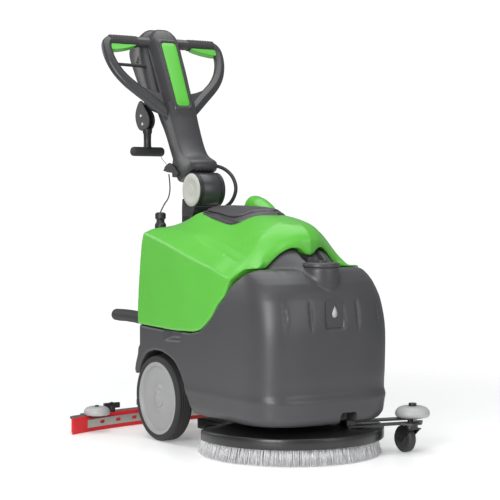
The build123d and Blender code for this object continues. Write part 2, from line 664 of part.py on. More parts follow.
# ---- brush deck ---------------------------------------------------------------------------
def deck_outline(radius):
    """Round at the front, tapered to a narrow tail at the rear."""
    points = [(BRUSH_X + radius * math.cos(math.radians(a)), BRUSH_Y + radius * math.sin(
        math.radians(a))) for a in range(167, 374, 6)]
    tail = radius - DECK_R
    return points + [(143 + tail, -230 + tail), (143 + tail, -98 + tail), (-143 - tail, -98 + tail),
                     (-143 - tail, -230 + tail)]


def deck_cover():
    skirt = prism_z(deck_outline(DECK_R), DECK_LOW, DECK_HIGH) - prism_z(deck_outline(DECK_R - 6), 0, 73)
    skirt -= Pos(BRUSH_X, BRUSH_Y, 0) * Cylinder(BRUSH_R + 2, 2 * 73)
    top = Pos(BRUSH_X, BRUSH_Y, 0) * turned([(0, 77), (150, 77), (110, 90), (0, 90)])
    pads = mirrored((62, 88), (-432, -240), (77.5, 91.8))
    return skirt + top + pads - rod((BRUSH_X, BRUSH_Y, 0), (BRUSH_X, BRUSH_Y, 200), 30)


def brush_gearbox():
    case = [(15 + RUNNING, 90.2), (52, 90.2), (52, 150), (15 + RUNNING, 150)]
    return Pos(BRUSH_X, BRUSH_Y, 0) * turned(case)


def brush_motor():
    case = [(0, 150.2), (50, 150.2), (56, 156), (56, 256), (46, 270), (0, 270)]
    return Pos(BRUSH_X, BRUSH_Y, 0) * turned(case)


def brush_block():
    block_profile = [(0, BRUSH_TOP - 2), (236, BRUSH_TOP - 2), (236, 62), (40, 62), (24, 66),
                     (15, 68), (15, 140), (0, 140)]
    return Pos(BRUSH_X, BRUSH_Y, 0) * turned(block_profile)


def bristles():
    return Pos(BRUSH_X, BRUSH_Y, 0) * turned([(120, 0), (BRUSH_R, 0), (238, BRUSH_TOP - 2.1),
                                              (110, BRUSH_TOP - 2.1)])


# ---- wheels, castor and bumper roller -----------------------------------------------------
def tyre(side):
    return wheel_part([(RIM_R, 1), (RIM_R + 4, 0), (WHEEL_R - 5, 0), (WHEEL_R, 7),
                       (WHEEL_R, WHEEL_WIDTH - 7), (WHEEL_R - 5, WHEEL_WIDTH), (RIM_R, WHEEL_WIDTH)],
                      side)


def rim(side):
    bore = AXLE_R + RUNNING
    return wheel_part([(bore, 12), (26, 12), (30, 9), (90, 7), (95, 1), (RIM_R, 1),
                       (RIM_R, WHEEL_WIDTH), (RIM_R - 8, WHEEL_WIDTH), (RIM_R - 8, 18), (30, 18),
                       (26, WHEEL_WIDTH), (bore, WHEEL_WIDTH)], side)


def hubcap(side):
    return wheel_part([(0, 0), (14, 0), (20, 4), (25, 11.9), (0, 11.9)], side)


def castor_fork():
    x, y = CASTOR_X, CASTOR_Y
    top = Pos(x, y, 0) * turned([(0, 66), (19, 66), (19, 78.4), (6 - RUNNING, 78.4),
                                 (6 - RUNNING, 86), (0, 86)])
    legs = []
    for s in (-1, 1):
        outline = [(y - 19, 69), (y + 20, 69), (y + CASTOR_TRAIL + 9, CASTOR_R + 4),
                   (y + CASTOR_TRAIL + 5, CASTOR_R - 8), (y + CASTOR_TRAIL - 8, CASTOR_R - 8),
                   (y + CASTOR_TRAIL - 12, CASTOR_R + 4)]
        legs.append(prism_x(outline, x + s * 19.5 - 1.5, x + s * 19.5 + 1.5))
    bridge = block((x - 21, x + 21), (y - 19, y + 20), (66, 69))
    axle = rod((x - 24, y + CASTOR_TRAIL, CASTOR_R), (x + 24, y + CASTOR_TRAIL, CASTOR_R), 5)
    bridge_cut = rod((x - 17, y + CASTOR_TRAIL, CASTOR_R), (x + 17, y + CASTOR_TRAIL, CASTOR_R),
                     CASTOR_R + 1)
    return top + legs[0] + legs[1] + bridge - bridge_cut + axle


def castor_wheel():
    profile = [(5 + RUNNING, -15), (22, -15), (22, -12), (CASTOR_R - 5, -12), (CASTOR_R, -7),
               (CASTOR_R, 7), (CASTOR_R - 5, 12), (22, 12), (22, 15), (5 + RUNNING, 15)]
    return Pos(CASTOR_X, CASTOR_Y + CASTOR_TRAIL, CASTOR_R) * Rot(0, 90, 0) * turned(profile)


def front_roller():
    profile = [(6 + RUNNING, 92.5), (40, 92.5), (48, 98), (47, 109), (38, 118), (20, 123),
               (6 + RUNNING, 124)]
    return Pos(BUMPER_X, BUMPER_Y, 0) * turned(profile)


# ---- cables -------------------------------------------------------------------------------
LIFT_CABLE = [(-51, 206, 766), (-55, 194, 744), (-61, 182, 716), (-74, 171, 691), (-97, 157, 676),
              (-115, 147, 652)]
LEVER_WIRE = [(-14, 316, 821), (-21, 297, 814), (-30, 273, 808), (-40, 247, 803), (-48, 223, 794)]
CONDUIT = [(51, 125, 793), (56, 96, 790), (62, 60, 778), (63, 24, 756), (63, 6, 722),
           (62, 24, 688), (58, 56, 667), (52, 92, 655)]


def cord(name, route, radius):
    """A tube along straight runs joined by the widest tangent arcs that the runs allow."""
    points = [Vector(*p) for p in route]
    radii = []
    for a, b, c in zip(points[:-2], points[1:-1], points[2:]):
        turn = math.radians((b - a).get_angle(c - b))
        radii.append(0.45 * min((b - a).length, (c - b).length) / math.tan(turn / 2))
    path = FilletPolyline(*route, radius=radii)
    start = Plane(origin=path @ 0, z_dir=path % 0)
    tube = sweep(start * Circle(radius), path=path)
    ideal = math.pi * radius ** 2 * path.length
    print(name, "length", round(path.length, 1), "radii", [round(r, 1) for r in radii],
          "volume ratio", round(tube.volume / ideal, 4))
    return tube


# ---- write every sub-part -----------------------------------------------------------------
def write_all():
    save("chassis_frame", chassis_frame())
    save("solution_tank", solution_tank())
    save("handle_pedestal", handle_pedestal())
    save("joint_caps", *joint_caps())
    save("joint_pin", rod((-42.9, DRUM_Y, DRUM_Z), (42.9, DRUM_Y, DRUM_Z), 8))
    save("wheel_axle", rod((-204, 0, WHEEL_R), (204, 0, WHEEL_R), AXLE_R))
    save("batteries", *batteries())
    save("suction_motor", suction_motor())
    save("castor_bracket", castor_bracket())
    save("badge_plate", block((-28, 28), (-569, -567.2), (352, 428)))
    save("filler_neck", filler_neck())
    save("cable_guide", cable_guide())
    pins = [rod((s * 110, HINGE_Y, HINGE_Z), (s * 138, HINGE_Y, HINGE_Z), 5) for s in (-1, 1)]
    pins.append(rod((-44, ARM_Y, ARM_Z), (44, ARM_Y, ARM_Z), 6))
    save("pivot_pins", *pins)
    save("lift_cable", cord("lift_cable", LIFT_CABLE, 2.0))
    save("conduit", cord("conduit", CONDUIT, 5.5))

    save("recovery_tank", recovery_tank())
    save("tank_grip", tank_grip())
    save("tank_inlet", tank_inlet())
    save("float_cage", *float_cage())
    save("tank_lid", tank_lid())
    save("lid_seal", lid_layer(1.2, 4.2, 0.92) - lid_layer(0, 6, 0.84))
    save("filler_cap", filler_cap())

    save("handle_column", handle_column())
    save("handle_frame", handle_frame())
    save("rear_housing", rear_housing())
    save("handle_grips", *handle_grips())
    save("handle_inlay", on_handle([(-27, 275), (27, 275), (27, 497), (-27, 497)], 1.2, 5))
    save("control_panel", control_panel())
    for name, x in ROCKERS.items():
        save(name, rocker_switch(x))
    save("key_switch", key_switch())
    save("joint_drum", joint_drum())
    save("cable_hook", cable_hook())
    save("cross_rod", cross_rod())
    save("lever_wire", cord("lever_wire", LEVER_WIRE, 1.0))
    save("drive_triggers", *drive_triggers())
    save("squeegee_lever", squeegee_lever())
    save("lever_grip", lever_grip())

    save("squeegee_arm", squeegee_arm())
    save("squeegee_body", squeegee_body())
    save("squeegee_blades", *squeegee_blades())
    save("blade_straps", *blade_straps())
    save("suction_nozzle", suction_nozzle())
    save("wing_knobs", *wing_knobs())
    for side, word in ((-1, "right"), (1, "left")):
        save(f"squeegee_roller_{word}", squeegee_roller(side))
        save(f"{word}_tyre", tyre(side))
        save(f"{word}_rim", rim(side))
        save(f"{word}_hubcap", hubcap(side))

    save("deck_cover", deck_cover())
    save("brush_gearbox", brush_gearbox())
    save("brush_motor", brush_motor())
    save("brush_block", brush_block())
    save("bristles", bristles())
    save("castor_fork", castor_fork())
    save("castor_wheel", castor_wheel())
    save("front_roller", front_roller())


write_all()
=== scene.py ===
import json
import math
import random

import bmesh
import bpy
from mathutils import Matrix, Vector


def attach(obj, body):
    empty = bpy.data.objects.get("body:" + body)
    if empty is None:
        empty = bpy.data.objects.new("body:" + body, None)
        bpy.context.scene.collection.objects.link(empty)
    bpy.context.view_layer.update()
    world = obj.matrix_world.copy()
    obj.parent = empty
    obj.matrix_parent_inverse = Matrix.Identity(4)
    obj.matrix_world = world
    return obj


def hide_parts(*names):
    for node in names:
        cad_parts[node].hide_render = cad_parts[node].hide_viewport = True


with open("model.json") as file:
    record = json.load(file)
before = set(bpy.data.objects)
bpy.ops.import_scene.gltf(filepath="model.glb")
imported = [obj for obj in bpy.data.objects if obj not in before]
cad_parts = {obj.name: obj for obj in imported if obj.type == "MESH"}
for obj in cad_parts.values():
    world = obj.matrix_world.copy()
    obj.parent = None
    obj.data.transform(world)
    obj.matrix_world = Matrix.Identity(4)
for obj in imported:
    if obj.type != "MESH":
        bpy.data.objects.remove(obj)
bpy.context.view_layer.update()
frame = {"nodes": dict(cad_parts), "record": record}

# Lengths below are millimetres with Y counted from the wheel axle; at() turns them into the
# frame's metres.
MM = 0.001
AXLE_Y = 84.0
LEAN = math.radians(25)                # the handle leans back by this angle
DRUM = (0, 88, 718)                    # centre of the handle's joint
FILLER = (0, -498, 0)                  # axis of the filler
LEVER_X = -60.0                        # middle of the squeegee lever
WHEEL_R, WHEEL_OUT = 122, 216          # radius of a drive wheel, and its outer face
GRIP_UP, GRIP_OUT = 516.5, -32         # middle of the handle's grips, on the handle
HORN_X, HORN_Z = -190, 342             # axis of the lifting grip
BADGE_Z = 390                          # height of the nose badge
BRUSH = (6.0, -348.0)                  # axis of the brush
PIVOT_X = 124                          # the recovery tank's hinge lugs, either side
TANK_VOXEL = 3.6                       # grid that the moulded tanks are rebuilt on


# ---- places ----
def at(x, y, z):
    return Vector((x * MM, (y + AXLE_Y) * MM, z * MM))


def on_handle(x, up, out):
    """A point of the leaning handle: up its column, out towards the front."""
    return (x, DRUM[1] + up * math.sin(LEAN) - out * math.cos(LEAN),
            DRUM[2] + up * math.cos(LEAN) + out * math.sin(LEAN))


def circle(count):
    """Angles evenly round a full turn."""
    return [2 * math.pi * i / count for i in range(count)]


def along_x(u, v, w):
    return (w, u, v)


def along_y(u, v, w):
    return (u, w, v)


def along_z(u, v, w):
    return (u, v, w)


# ---- curves and tables ----
def spline_value(table, x, column=1):
    """Value of a column at x, on a smooth curve through a table sorted by its first column."""
    if x <= table[0][0]:
        return table[0][column]
    if x >= table[-1][0]:
        return table[-1][column]
    i = max(k for k in range(len(table) - 1) if table[k][0] <= x)
    p1, p2 = table[i], table[i + 1]
    p0, p3 = table[max(i - 1, 0)], table[min(i + 2, len(table) - 1)]
    span = p2[0] - p1[0]
    t = (x - p1[0]) / span
    m1 = (p2[column] - p0[column]) / max(p2[0] - p0[0], 1e-6) * span
    m2 = (p3[column] - p1[column]) / max(p3[0] - p1[0], 1e-6) * span
    a = 2 * t ** 3 - 3 * t ** 2 + 1
    b = t ** 3 - 2 * t ** 2 + t
    c = -2 * t ** 3 + 3 * t ** 2
    d = t ** 3 - t ** 2
    return a * p1[column] + b * m1 + c * p2[column] + d * m2


def smooth_loop(points, steps, closed=True):
    """Points on a smooth curve through the given ones."""
    n = len(points)
    out = []
    for i in range(n if closed else n - 1):
        if closed:
            p = [points[(i + k - 1) % n] for k in range(4)]
        else:
            p = [points[min(max(i + k - 1, 0), n - 1)] for k in range(4)]
        for s in range(steps):
            t = s / steps
            out.append(tuple(0.5 * (2 * b + (c - a) * t + (2 * a - 5 * b + 4 * c - d) * t * t
                                    + (3 * b - a - 3 * c + d) * t ** 3)
                             for a, b, c, d in zip(*p)))
    if not closed:
        out.append(tuple(points[-1]))
    return out


def rounded(points, radius, steps=5):
    """The outline with each corner turned into an arc-like curve."""
    out = []
    n = len(points)
    for i in range(n):
        a, b, c = (Vector(points[(i + k - 1) % n]) for k in range(3))
        r1 = min(radius, (a - b).length * 0.45)
        r2 = min(radius, (c - b).length * 0.45)
        p = b + (a - b).normalized() * r1
        q = b + (c - b).normalized() * r2
        for s in range(steps + 1):
            t = s / steps
            out.append(tuple(p * (1 - t) ** 2 + b * 2 * t * (1 - t) + q * t * t))
    return out


def both_sides(points):
    """Half outlines that start and end on X = 0, closed with their mirror image."""
    left = [(-x, *rest) for x, *rest in reversed(points) if x != 0]
    return list(points) + left


# ---- meshes ----
def skin(rings, closed=True, caps=True):
    """Vertices and faces of a skin stretched over rings of points."""
    n = len(rings[0])
    verts = [p for ring in rings for p in ring]
    faces = []
    for r in range(len(rings) - 1):
        for i in range(n if closed else n - 1):
            j = (i + 1) % n
            faces.append((r * n + i, r * n + j, (r + 1) * n + j, (r + 1) * n + i))
    if caps:
        faces.append(tuple(reversed(range(n))))
        faces.append(tuple((len(rings) - 1) * n + i for i in range(n)))
    return verts, faces


def turned(profile, centre, axis="z", segments=72):
    """A turned part: profile is (radius, distance along the axis); a hollow one has a bore."""
    rings = []
    for radius, height in profile:
        ring = []
        for a in circle(segments):
            u, v = max(radius, 0.01) * math.cos(a), max(radius, 0.01) * math.sin(a)
            p = {"z": (u, v, height), "x": (height, u, v), "y": (u, height, v)}[axis]
            ring.append(tuple(c + d for c, d in zip(centre, p)))
        rings.append(ring)
    hollow = profile[0][0] > 0.2
    verts, faces = skin(rings, caps=not hollow)
    if hollow:
        last = (len(rings) - 1) * segments
        for i in range(segments):
            j = (i + 1) % segments
            faces.append((last + i, last + j, j, i))
    return verts, faces


def prism(outline, low, high, place):
    return skin([[place(u, v, w) for u, v in outline] for w in (low, high)])


def box(x, y, z):
    outline = [(x[0], y[0]), (x[1], y[0]), (x[1], y[1]), (x[0], y[1])]
    return prism(outline, z[0], z[1], along_z)


def tube(points, radius, sides=16):
    """A round tube along points, its ends closed; radius may be a list."""
    path = [Vector(p) for p in points]
    radii = radius if isinstance(radius, (list, tuple)) else [radius] * len(path)
    tangent = (path[1] - path[0]).normalized()
    side = tangent.orthogonal().normalized()
    rings = []
    for i, p in enumerate(path):
        ahead = path[min(i + 1, len(path) - 1)] - path[max(i - 1, 0)]
        tangent = ahead.normalized()
        side = (side - tangent * side.dot(tangent)).normalized()
        other = tangent.cross(side)
        ring = []
        for a in circle(sides):
            ring.append(tuple(p + (side * math.cos(a) + other * math.sin(a)) * radii[i]))
        rings.append(ring)
    return skin(rings)


def joined(*shapes):
    verts, faces = [], []
    for v, f in shapes:
        base = len(verts)
        verts += list(v)
        faces += [tuple(base + i for i in face) for face in f]
    return verts, faces


def raw(name, shape):
    """An object from a shape in millimetres, with its faces turned outwards."""
    verts, faces = shape
    mesh = bpy.data.meshes.new(name)
    mesh.from_pydata([at(*v) for v in verts], [], faces)
    bm = bmesh.new()
    bm.from_mesh(mesh)
    bmesh.ops.recalc_face_normals(bm, faces=bm.faces)
    bm.to_mesh(mesh)
    bm.free()
    o = bpy.data.objects.new(name, mesh)
    bpy.context.collection.objects.link(o)
    return o


def baked(o):
    """The object with its modifiers applied."""
    bpy.context.view_layer.update()
    mesh = bpy.data.meshes.new_from_object(o.evaluated_get(bpy.context.evaluated_depsgraph_get()))
    o.modifiers.clear()
    old = o.data
    o.data = mesh
    bpy.data.meshes.remove(old)
    return o


def combine(o, shapes, operation):
    for shape in shapes:
        tool = raw("tool", shape)
        m = o.modifiers.new("cut", "BOOLEAN")
        m.operation = operation
        m.solver = "EXACT"
        m.object = tool
        baked(o)
        bpy.data.objects.remove(tool)
    return o


def moulded(o, voxel, rounds):
    """Rebuilds the surface evenly and softens its edges, as rotational moulding does."""
    m = o.modifiers.new("even", "REMESH")
    m.mode = "VOXEL"
    m.voxel_size = voxel * MM
    s = o.modifiers.new("soften", "SMOOTH")
    s.factor = 0.5
    s.iterations = rounds
    return baked(o)


def piece(o, body, slot, nodes=(), look=None, bevel=0.0, sharp=0.0):
    """Gives an object its finish, the slot's own unless told, and its place in the frame."""
    if isinstance(o, tuple):
        o = raw(*o)
    o.data.shade_smooth()
    if sharp:
        o.data.set_sharp_from_angle(angle=math.radians(sharp))
    if bevel:
        m = o.modifiers.new("edge", "BEVEL")
        m.width = bevel * MM
        m.segments = 3
        m.limit_method = "ANGLE"
        m.angle_limit = math.radians(38)
        m.harden_normals = True
    o.data.materials.clear()
    o.data.materials.append(LOOKS[look or slot])
    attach(o, body)
    if nodes:
        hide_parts(*nodes)
    return o


# ---- finishes ----
def linear(r, g, b):
    return tuple(((c / 255 + 0.055) / 1.055) ** 2.4 if c > 10 else c / 255 / 12.92
                 for c in (r, g, b)) + (1.0,)


def dial(node, values):
    """Sets a shader node's inputs by name."""
    for name, value in values.items():
        node.inputs[name].default_value = value


def finish(name, rgb, rough, grain=0.0, grain_size=900, spread=0.05, patch=6, metal=0.0,
           rough_spread=0.08, coat=0.0, stretch=(1, 1, 1), specular=0.5):
    """A moulded or painted surface: fine grain, faint clouding of colour and of gloss."""
    mat = bpy.data.materials.new(name)
    mat.use_nodes = True
    tree = mat.node_tree
    shader = tree.nodes["Principled BSDF"]
    dial(shader, {"Metallic": metal, "Coat Weight": coat, "Specular IOR Level": specular})
    where = tree.nodes.new("ShaderNodeTexCoord")
    turn = tree.nodes.new("ShaderNodeMapping")
    dial(turn, {"Scale": stretch})
    tree.links.new(where.outputs["Object"], turn.inputs["Vector"])

    cloud = tree.nodes.new("ShaderNodeTexNoise")
    dial(cloud, {"Scale": patch, "Detail": 5})
    tree.links.new(turn.outputs["Vector"], cloud.inputs["Vector"])
    ramp = tree.nodes.new("ShaderNodeValToRGB")
    base = linear(*rgb)
    ramp.color_ramp.elements[0].position = 0.3
    ramp.color_ramp.elements[1].position = 0.7
    ramp.color_ramp.elements[0].color = tuple(c * (1 - spread) for c in base[:3]) + (1,)
    ramp.color_ramp.elements[1].color = tuple(min(c * (1 + spread), 1) for c in base[:3]) + (1,)
    tree.links.new(cloud.outputs["Fac"], ramp.inputs["Fac"])
    tree.links.new(ramp.outputs["Color"], shader.inputs["Base Color"])

    gloss = tree.nodes.new("ShaderNodeMapRange")
    dial(gloss, {"To Min": rough - rough_spread, "To Max": rough + rough_spread})
    fine = tree.nodes.new("ShaderNodeTexNoise")
    dial(fine, {"Scale": grain_size, "Detail": 3})
    tree.links.new(turn.outputs["Vector"], fine.inputs["Vector"])
    tree.links.new(cloud.outputs["Fac"], gloss.inputs["Value"])
    tree.links.new(gloss.outputs["Result"], shader.inputs["Roughness"])
    if grain:
        bump = tree.nodes.new("ShaderNodeBump")
        dial(bump, {"Strength": grain, "Distance": 0.0004})
        tree.links.new(fine.outputs["Fac"], bump.inputs["Height"])
        tree.links.new(bump.outputs["Normal"], shader.inputs["Normal"])
    return mat


LOOKS = {
    "grey_plastic": finish("grey_plastic", (60, 60, 62), 0.39, 0.25, 1400, 0.03),
    "green_plastic": finish("green_plastic", (86, 176, 56), 0.3, 0.2, 1300, 0.03),
    "handle_plastic": finish("handle_plastic", (54, 54, 56), 0.32, 0.2, 1500, 0.03),
    "green_trim": finish("green_trim", (84, 178, 56), 0.3, 0.15, 1500, 0.03),
    "black_plastic": finish("black_plastic", (34, 34, 36), 0.42, 0.3, 1200, 0.08),
    "lid_plastic": finish("lid_plastic", (60, 57, 61), 0.4, 0.3, 1300, 0.04),
    "light_plastic": finish("light_plastic", (183, 183, 176), 0.45, 0.3, 1200, 0.04),
    "rim_plastic": finish("rim_plastic", (146, 146, 147), 0.4, 0.2, 1200, 0.03),
    "roller_plastic": finish("roller_plastic", (168, 168, 168), 0.4, 0.2, 1200, 0.03),
    "rubber": finish("rubber", (42, 42, 43), 0.62, 0.5, 1000, 0.1),
    "tyre": finish("tyre", (34, 34, 35), 0.66, 0.5, 900, 0.12),
    "blade_rubber": finish("blade_rubber", (205, 24, 32), 0.4, 0.25, 700, 0.05),
    "steel": finish("steel", (190, 188, 182), 0.34, 0.3, 260, 0.06, metal=0.9,
                    stretch=(0.15, 1, 3)),
    "frame_steel": finish("frame_steel", (26, 26, 27), 0.36, 0.35, 800, 0.1, coat=0.3),
    "bristle": finish("bristle", (226, 226, 228), 0.5, 0.3, 500, 0.14, patch=120),
    "deck_plastic": finish("deck_plastic", (26, 26, 27), 0.34, 0.12, 700, 0.06, coat=0.15),
    "motor_metal": finish("motor_metal", (150, 150, 152), 0.45, 0.5, 500, 0.1, metal=0.8),
    "battery_case": finish("battery_case", (52, 52, 58), 0.5, 0.4, 800, 0.08),
}


SLOTS = {part["node"]: part["material_slot"] for part in frame["record"]["subparts"]}
for node_name, node in frame["nodes"].items():
    node.data.materials.clear()
    node.data.materials.append(LOOKS[SLOTS[node_name]])


# ---- the camera and the studio ----
CAMERA_PLACE = (-2330.7, -3654.0, 693.4)
CAMERA_TURN, CAMERA_PITCH = math.radians(33.7), math.radians(-2.0)
LENS, SENSOR = 106.56, 36
FLOOR_HALF, FLOOR_Z = 9000, -0.6       # the floor lies just under the tyres


def make_camera():
    azimuth, pitch = CAMERA_TURN, CAMERA_PITCH
    data = bpy.data.cameras.new("camera")
    data.lens = LENS
    data.sensor_width = SENSOR
    data.clip_end = 50
    camera = bpy.data.objects.new("camera", data)
    bpy.context.collection.objects.link(camera)
    camera.location = at(*CAMERA_PLACE)
    ahead = Vector((math.sin(azimuth) * math.cos(pitch), math.cos(azimuth) * math.cos(pitch),
                    math.sin(pitch)))
    camera.rotation_mode = "QUATERNION"
    camera.rotation_quaternion = ahead.to_track_quat("-Z", "Y")
    bpy.context.scene.camera = camera


def softbox(name, place, target, size, power):
    data = bpy.data.lights.new(name, "AREA")
    data.shape = "RECTANGLE"
    data.size, data.size_y = size
    data.energy = power
    o = bpy.data.objects.new(name, data)
    bpy.context.collection.objects.link(o)
    o.location = place
    o.rotation_mode = "QUATERNION"
    o.rotation_quaternion = (Vector(target) - Vector(place)).to_track_quat("-Z", "Y")


def white_floor():
    """White floor that fades into the backdrop away from the machine."""
    material = bpy.data.materials.new("white_floor")
    material.use_nodes = True
    nodes, links = material.node_tree.nodes, material.node_tree.links
    paint = nodes["Principled BSDF"]
    dial(paint, {"Base Color": (0.93, 0.93, 0.93, 1), "Roughness": 0.3,
                 "Specular IOR Level": 0.3, "Emission Color": (1, 1, 1, 1),
                 "Emission Strength": 0.2})
    place, reach = nodes.new("ShaderNodeNewGeometry"), nodes.new("ShaderNodeVectorMath")
    reach.operation = "LENGTH"
    fade = nodes.new("ShaderNodeMapRange")
    fade.interpolation_type = "SMOOTHSTEP"
    dial(fade, {"From Min": 0.7, "From Max": 2.4})
    clear, mix = nodes.new("ShaderNodeBsdfTransparent"), nodes.new("ShaderNodeMixShader")
    links.new(place.outputs["Position"], reach.inputs[0])
    links.new(reach.outputs["Value"], fade.inputs["Value"])
    links.new(fade.outputs["Result"], mix.inputs["Fac"])
    links.new(paint.outputs["BSDF"], mix.inputs[1])
    links.new(clear.outputs["BSDF"], mix.inputs[2])
    links.new(mix.outputs["Shader"], nodes["Material Output"].inputs["Surface"])
    return material


def make_studio():
    bpy.context.scene.view_settings.view_transform = "Standard"
    world = bpy.data.worlds.new("studio")
    bpy.context.scene.world = world
    world.use_nodes = True
    nodes, links = world.node_tree.nodes, world.node_tree.links
    fill = nodes["Background"]
    dial(fill, {"Color": (0.97, 0.985, 1, 1), "Strength": 0.34})
    backdrop = nodes.new("ShaderNodeBackground")
    dial(backdrop, {"Color": (1, 1, 1, 1), "Strength": 1.05})
    seen, mix = nodes.new("ShaderNodeLightPath"), nodes.new("ShaderNodeMixShader")
    links.new(seen.outputs["Is Camera Ray"], mix.inputs["Fac"])
    links.new(fill.outputs["Background"], mix.inputs[1])
    links.new(backdrop.outputs["Background"], mix.inputs[2])
    links.new(mix.outputs["Shader"], nodes["World Output"].inputs["Surface"])
    softbox("key", (-2.6, -2.0, 1.35), (0, -0.3, 0.5), (1.3, 2.0), 84)
    softbox("front", (0.9, -3.4, 1.5), (0, -0.3, 0.4), (1.6, 2.2), 26)
    softbox("top", (0, 0, 3.4), (0, 0, 0.5), (3.2, 3.2), 80)
    softbox("back", (-1.8, 2.6, 1.8), (0, 0, 0.6), (1.2, 1.8), 20)
    corners = [(-1, -1), (1, -1), (1, 1), (-1, 1)]
    sheet = [(x * FLOOR_HALF, y * FLOOR_HALF, FLOOR_Z) for x, y in corners]
    floor = raw("floor", (sheet, [(0, 1, 2, 3)]))
    floor.data.materials.append(white_floor())


make_camera()
make_studio()


# ---- cables ----
def cable(name, route, diameter, body, slot, node):
    curve = bpy.data.curves.new(name, "CURVE")
    curve.dimensions = "3D"
    spline = curve.splines.new("NURBS")
    spline.points.add(len(route) - 1)
    for point, (x, y, z) in zip(spline.points, route):
        point.co = (x, y + AXLE_Y * MM, z, 1)
    spline.order_u = 3
    spline.use_endpoint_u = True
    spline.resolution_u = 12
    curve.bevel_depth = diameter / 2
    curve.bevel_resolution = 6
    curve.use_fill_caps = True
    o = bpy.data.objects.new(name, curve)
    bpy.context.collection.objects.link(o)
    curve.materials.append(LOOKS[slot])
    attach(o, body)
    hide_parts(node)
    x, y, z = route[0]
    return o


# Points of each cord in metres, with Y counted from the wheel axle.
LIFT_CABLE = [(-0.051, 0.206, 0.766), (-0.055, 0.194, 0.744), (-0.061, 0.182, 0.716),
              (-0.074, 0.171, 0.691), (-0.097, 0.157, 0.676), (-0.115, 0.147, 0.652)]
CONDUIT = [(0.051, 0.125, 0.793), (0.056, 0.096, 0.790), (0.062, 0.060, 0.778),
           (0.063, 0.024, 0.756), (0.063, 0.006, 0.722), (0.062, 0.024, 0.688),
           (0.058, 0.056, 0.667), (0.052, 0.092, 0.655)]
LEVER_WIRE = [(-0.014, 0.316, 0.821), (-0.021, 0.297, 0.814), (-0.030, 0.273, 0.808),
              (-0.040, 0.247, 0.803), (-0.048, 0.223, 0.794)]
cable("lifting_cable", LIFT_CABLE, 0.004, "chassis", "black_plastic", "lift_cable")
cable("lever_wire_line", LEVER_WIRE, 0.002, "handle", "steel", "lever_wire")
cable("motor_cable", CONDUIT, 0.011, "chassis", "rubber", "conduit")


# ---- the body ----
# Height, half width, length of the nose, squareness of its plan.
BODY_ROWS = [(100, 204, 160, 2.9), (103, 209, 164, 3.1), (118, 215, 168.5, 3.5),
             (150, 216, 170, 3.8), (164, 216.5, 171, 4.0), (170, 216, 168, 4.1),
             (182, 215, 162, 4.1), (230, 214.8, 164, 4.2), (317, 215, 165, 4.3),
             (360, 215, 164, 4.1), (400, 213.5, 159, 3.75), (430, 211.5, 152, 3.45),
             (449, 209, 144, 3.2), (470, 205, 132, 2.95), (485, 200, 118, 2.75),
             (497, 194, 103, 2.55), (503, 188, 91, 2.4), (506, 180, 78, 2.3)]
NOSE_FROM = -400.0
BODY_REAR = 113.0
REAR_CORNER = 22
# The line where the body ends and the green tank begins, as (Y, Z).
SEAM = [(120, 326), (-34, 321), (-182, 323), (-231, 332), (-288, 369), (-321, 406),
        (-351, 429), (-374, 463), (-404, 481), (-440, 504)]
# A wheel arch, as (Y, Z).
ARCH = [(2, 259), (-52, 252), (-98, 234), (-128, 205), (-150, 171), (-178, 124), (-200, 96),
        (-215, 60), (-215, -20), (126, -20), (112, 60), (110, 120), (106, 176), (92, 214),
        (56, 247)]


def body_ring(z, half, nose, power):
    """One level of the body: straight sides and a rounded nose."""
    ring = [(0, BODY_REAR, z), (half * 0.5, BODY_REAR, z)]
    for i in range(7):
        a = math.pi / 2 * (1 - i / 6)
        ring.append((half - REAR_CORNER + REAR_CORNER * math.cos(a),
                     BODY_REAR - REAR_CORNER + REAR_CORNER * math.sin(a), z))
    for y in range(60, -400, -46):
        ring.append((half, y, z))
    for i in range(29):
        a = math.pi / 2 * i / 28
        ring.append((half * max(math.cos(a), 0) ** (2 / power),
                     NOSE_FROM - nose * math.sin(a) ** (2 / power), z))
    ring[-1] = (0, NOSE_FROM - nose, z)
    return both_sides(ring)


def seam_floor(y):
    return spline_value(sorted((-a, b) for a, b in SEAM), -y)


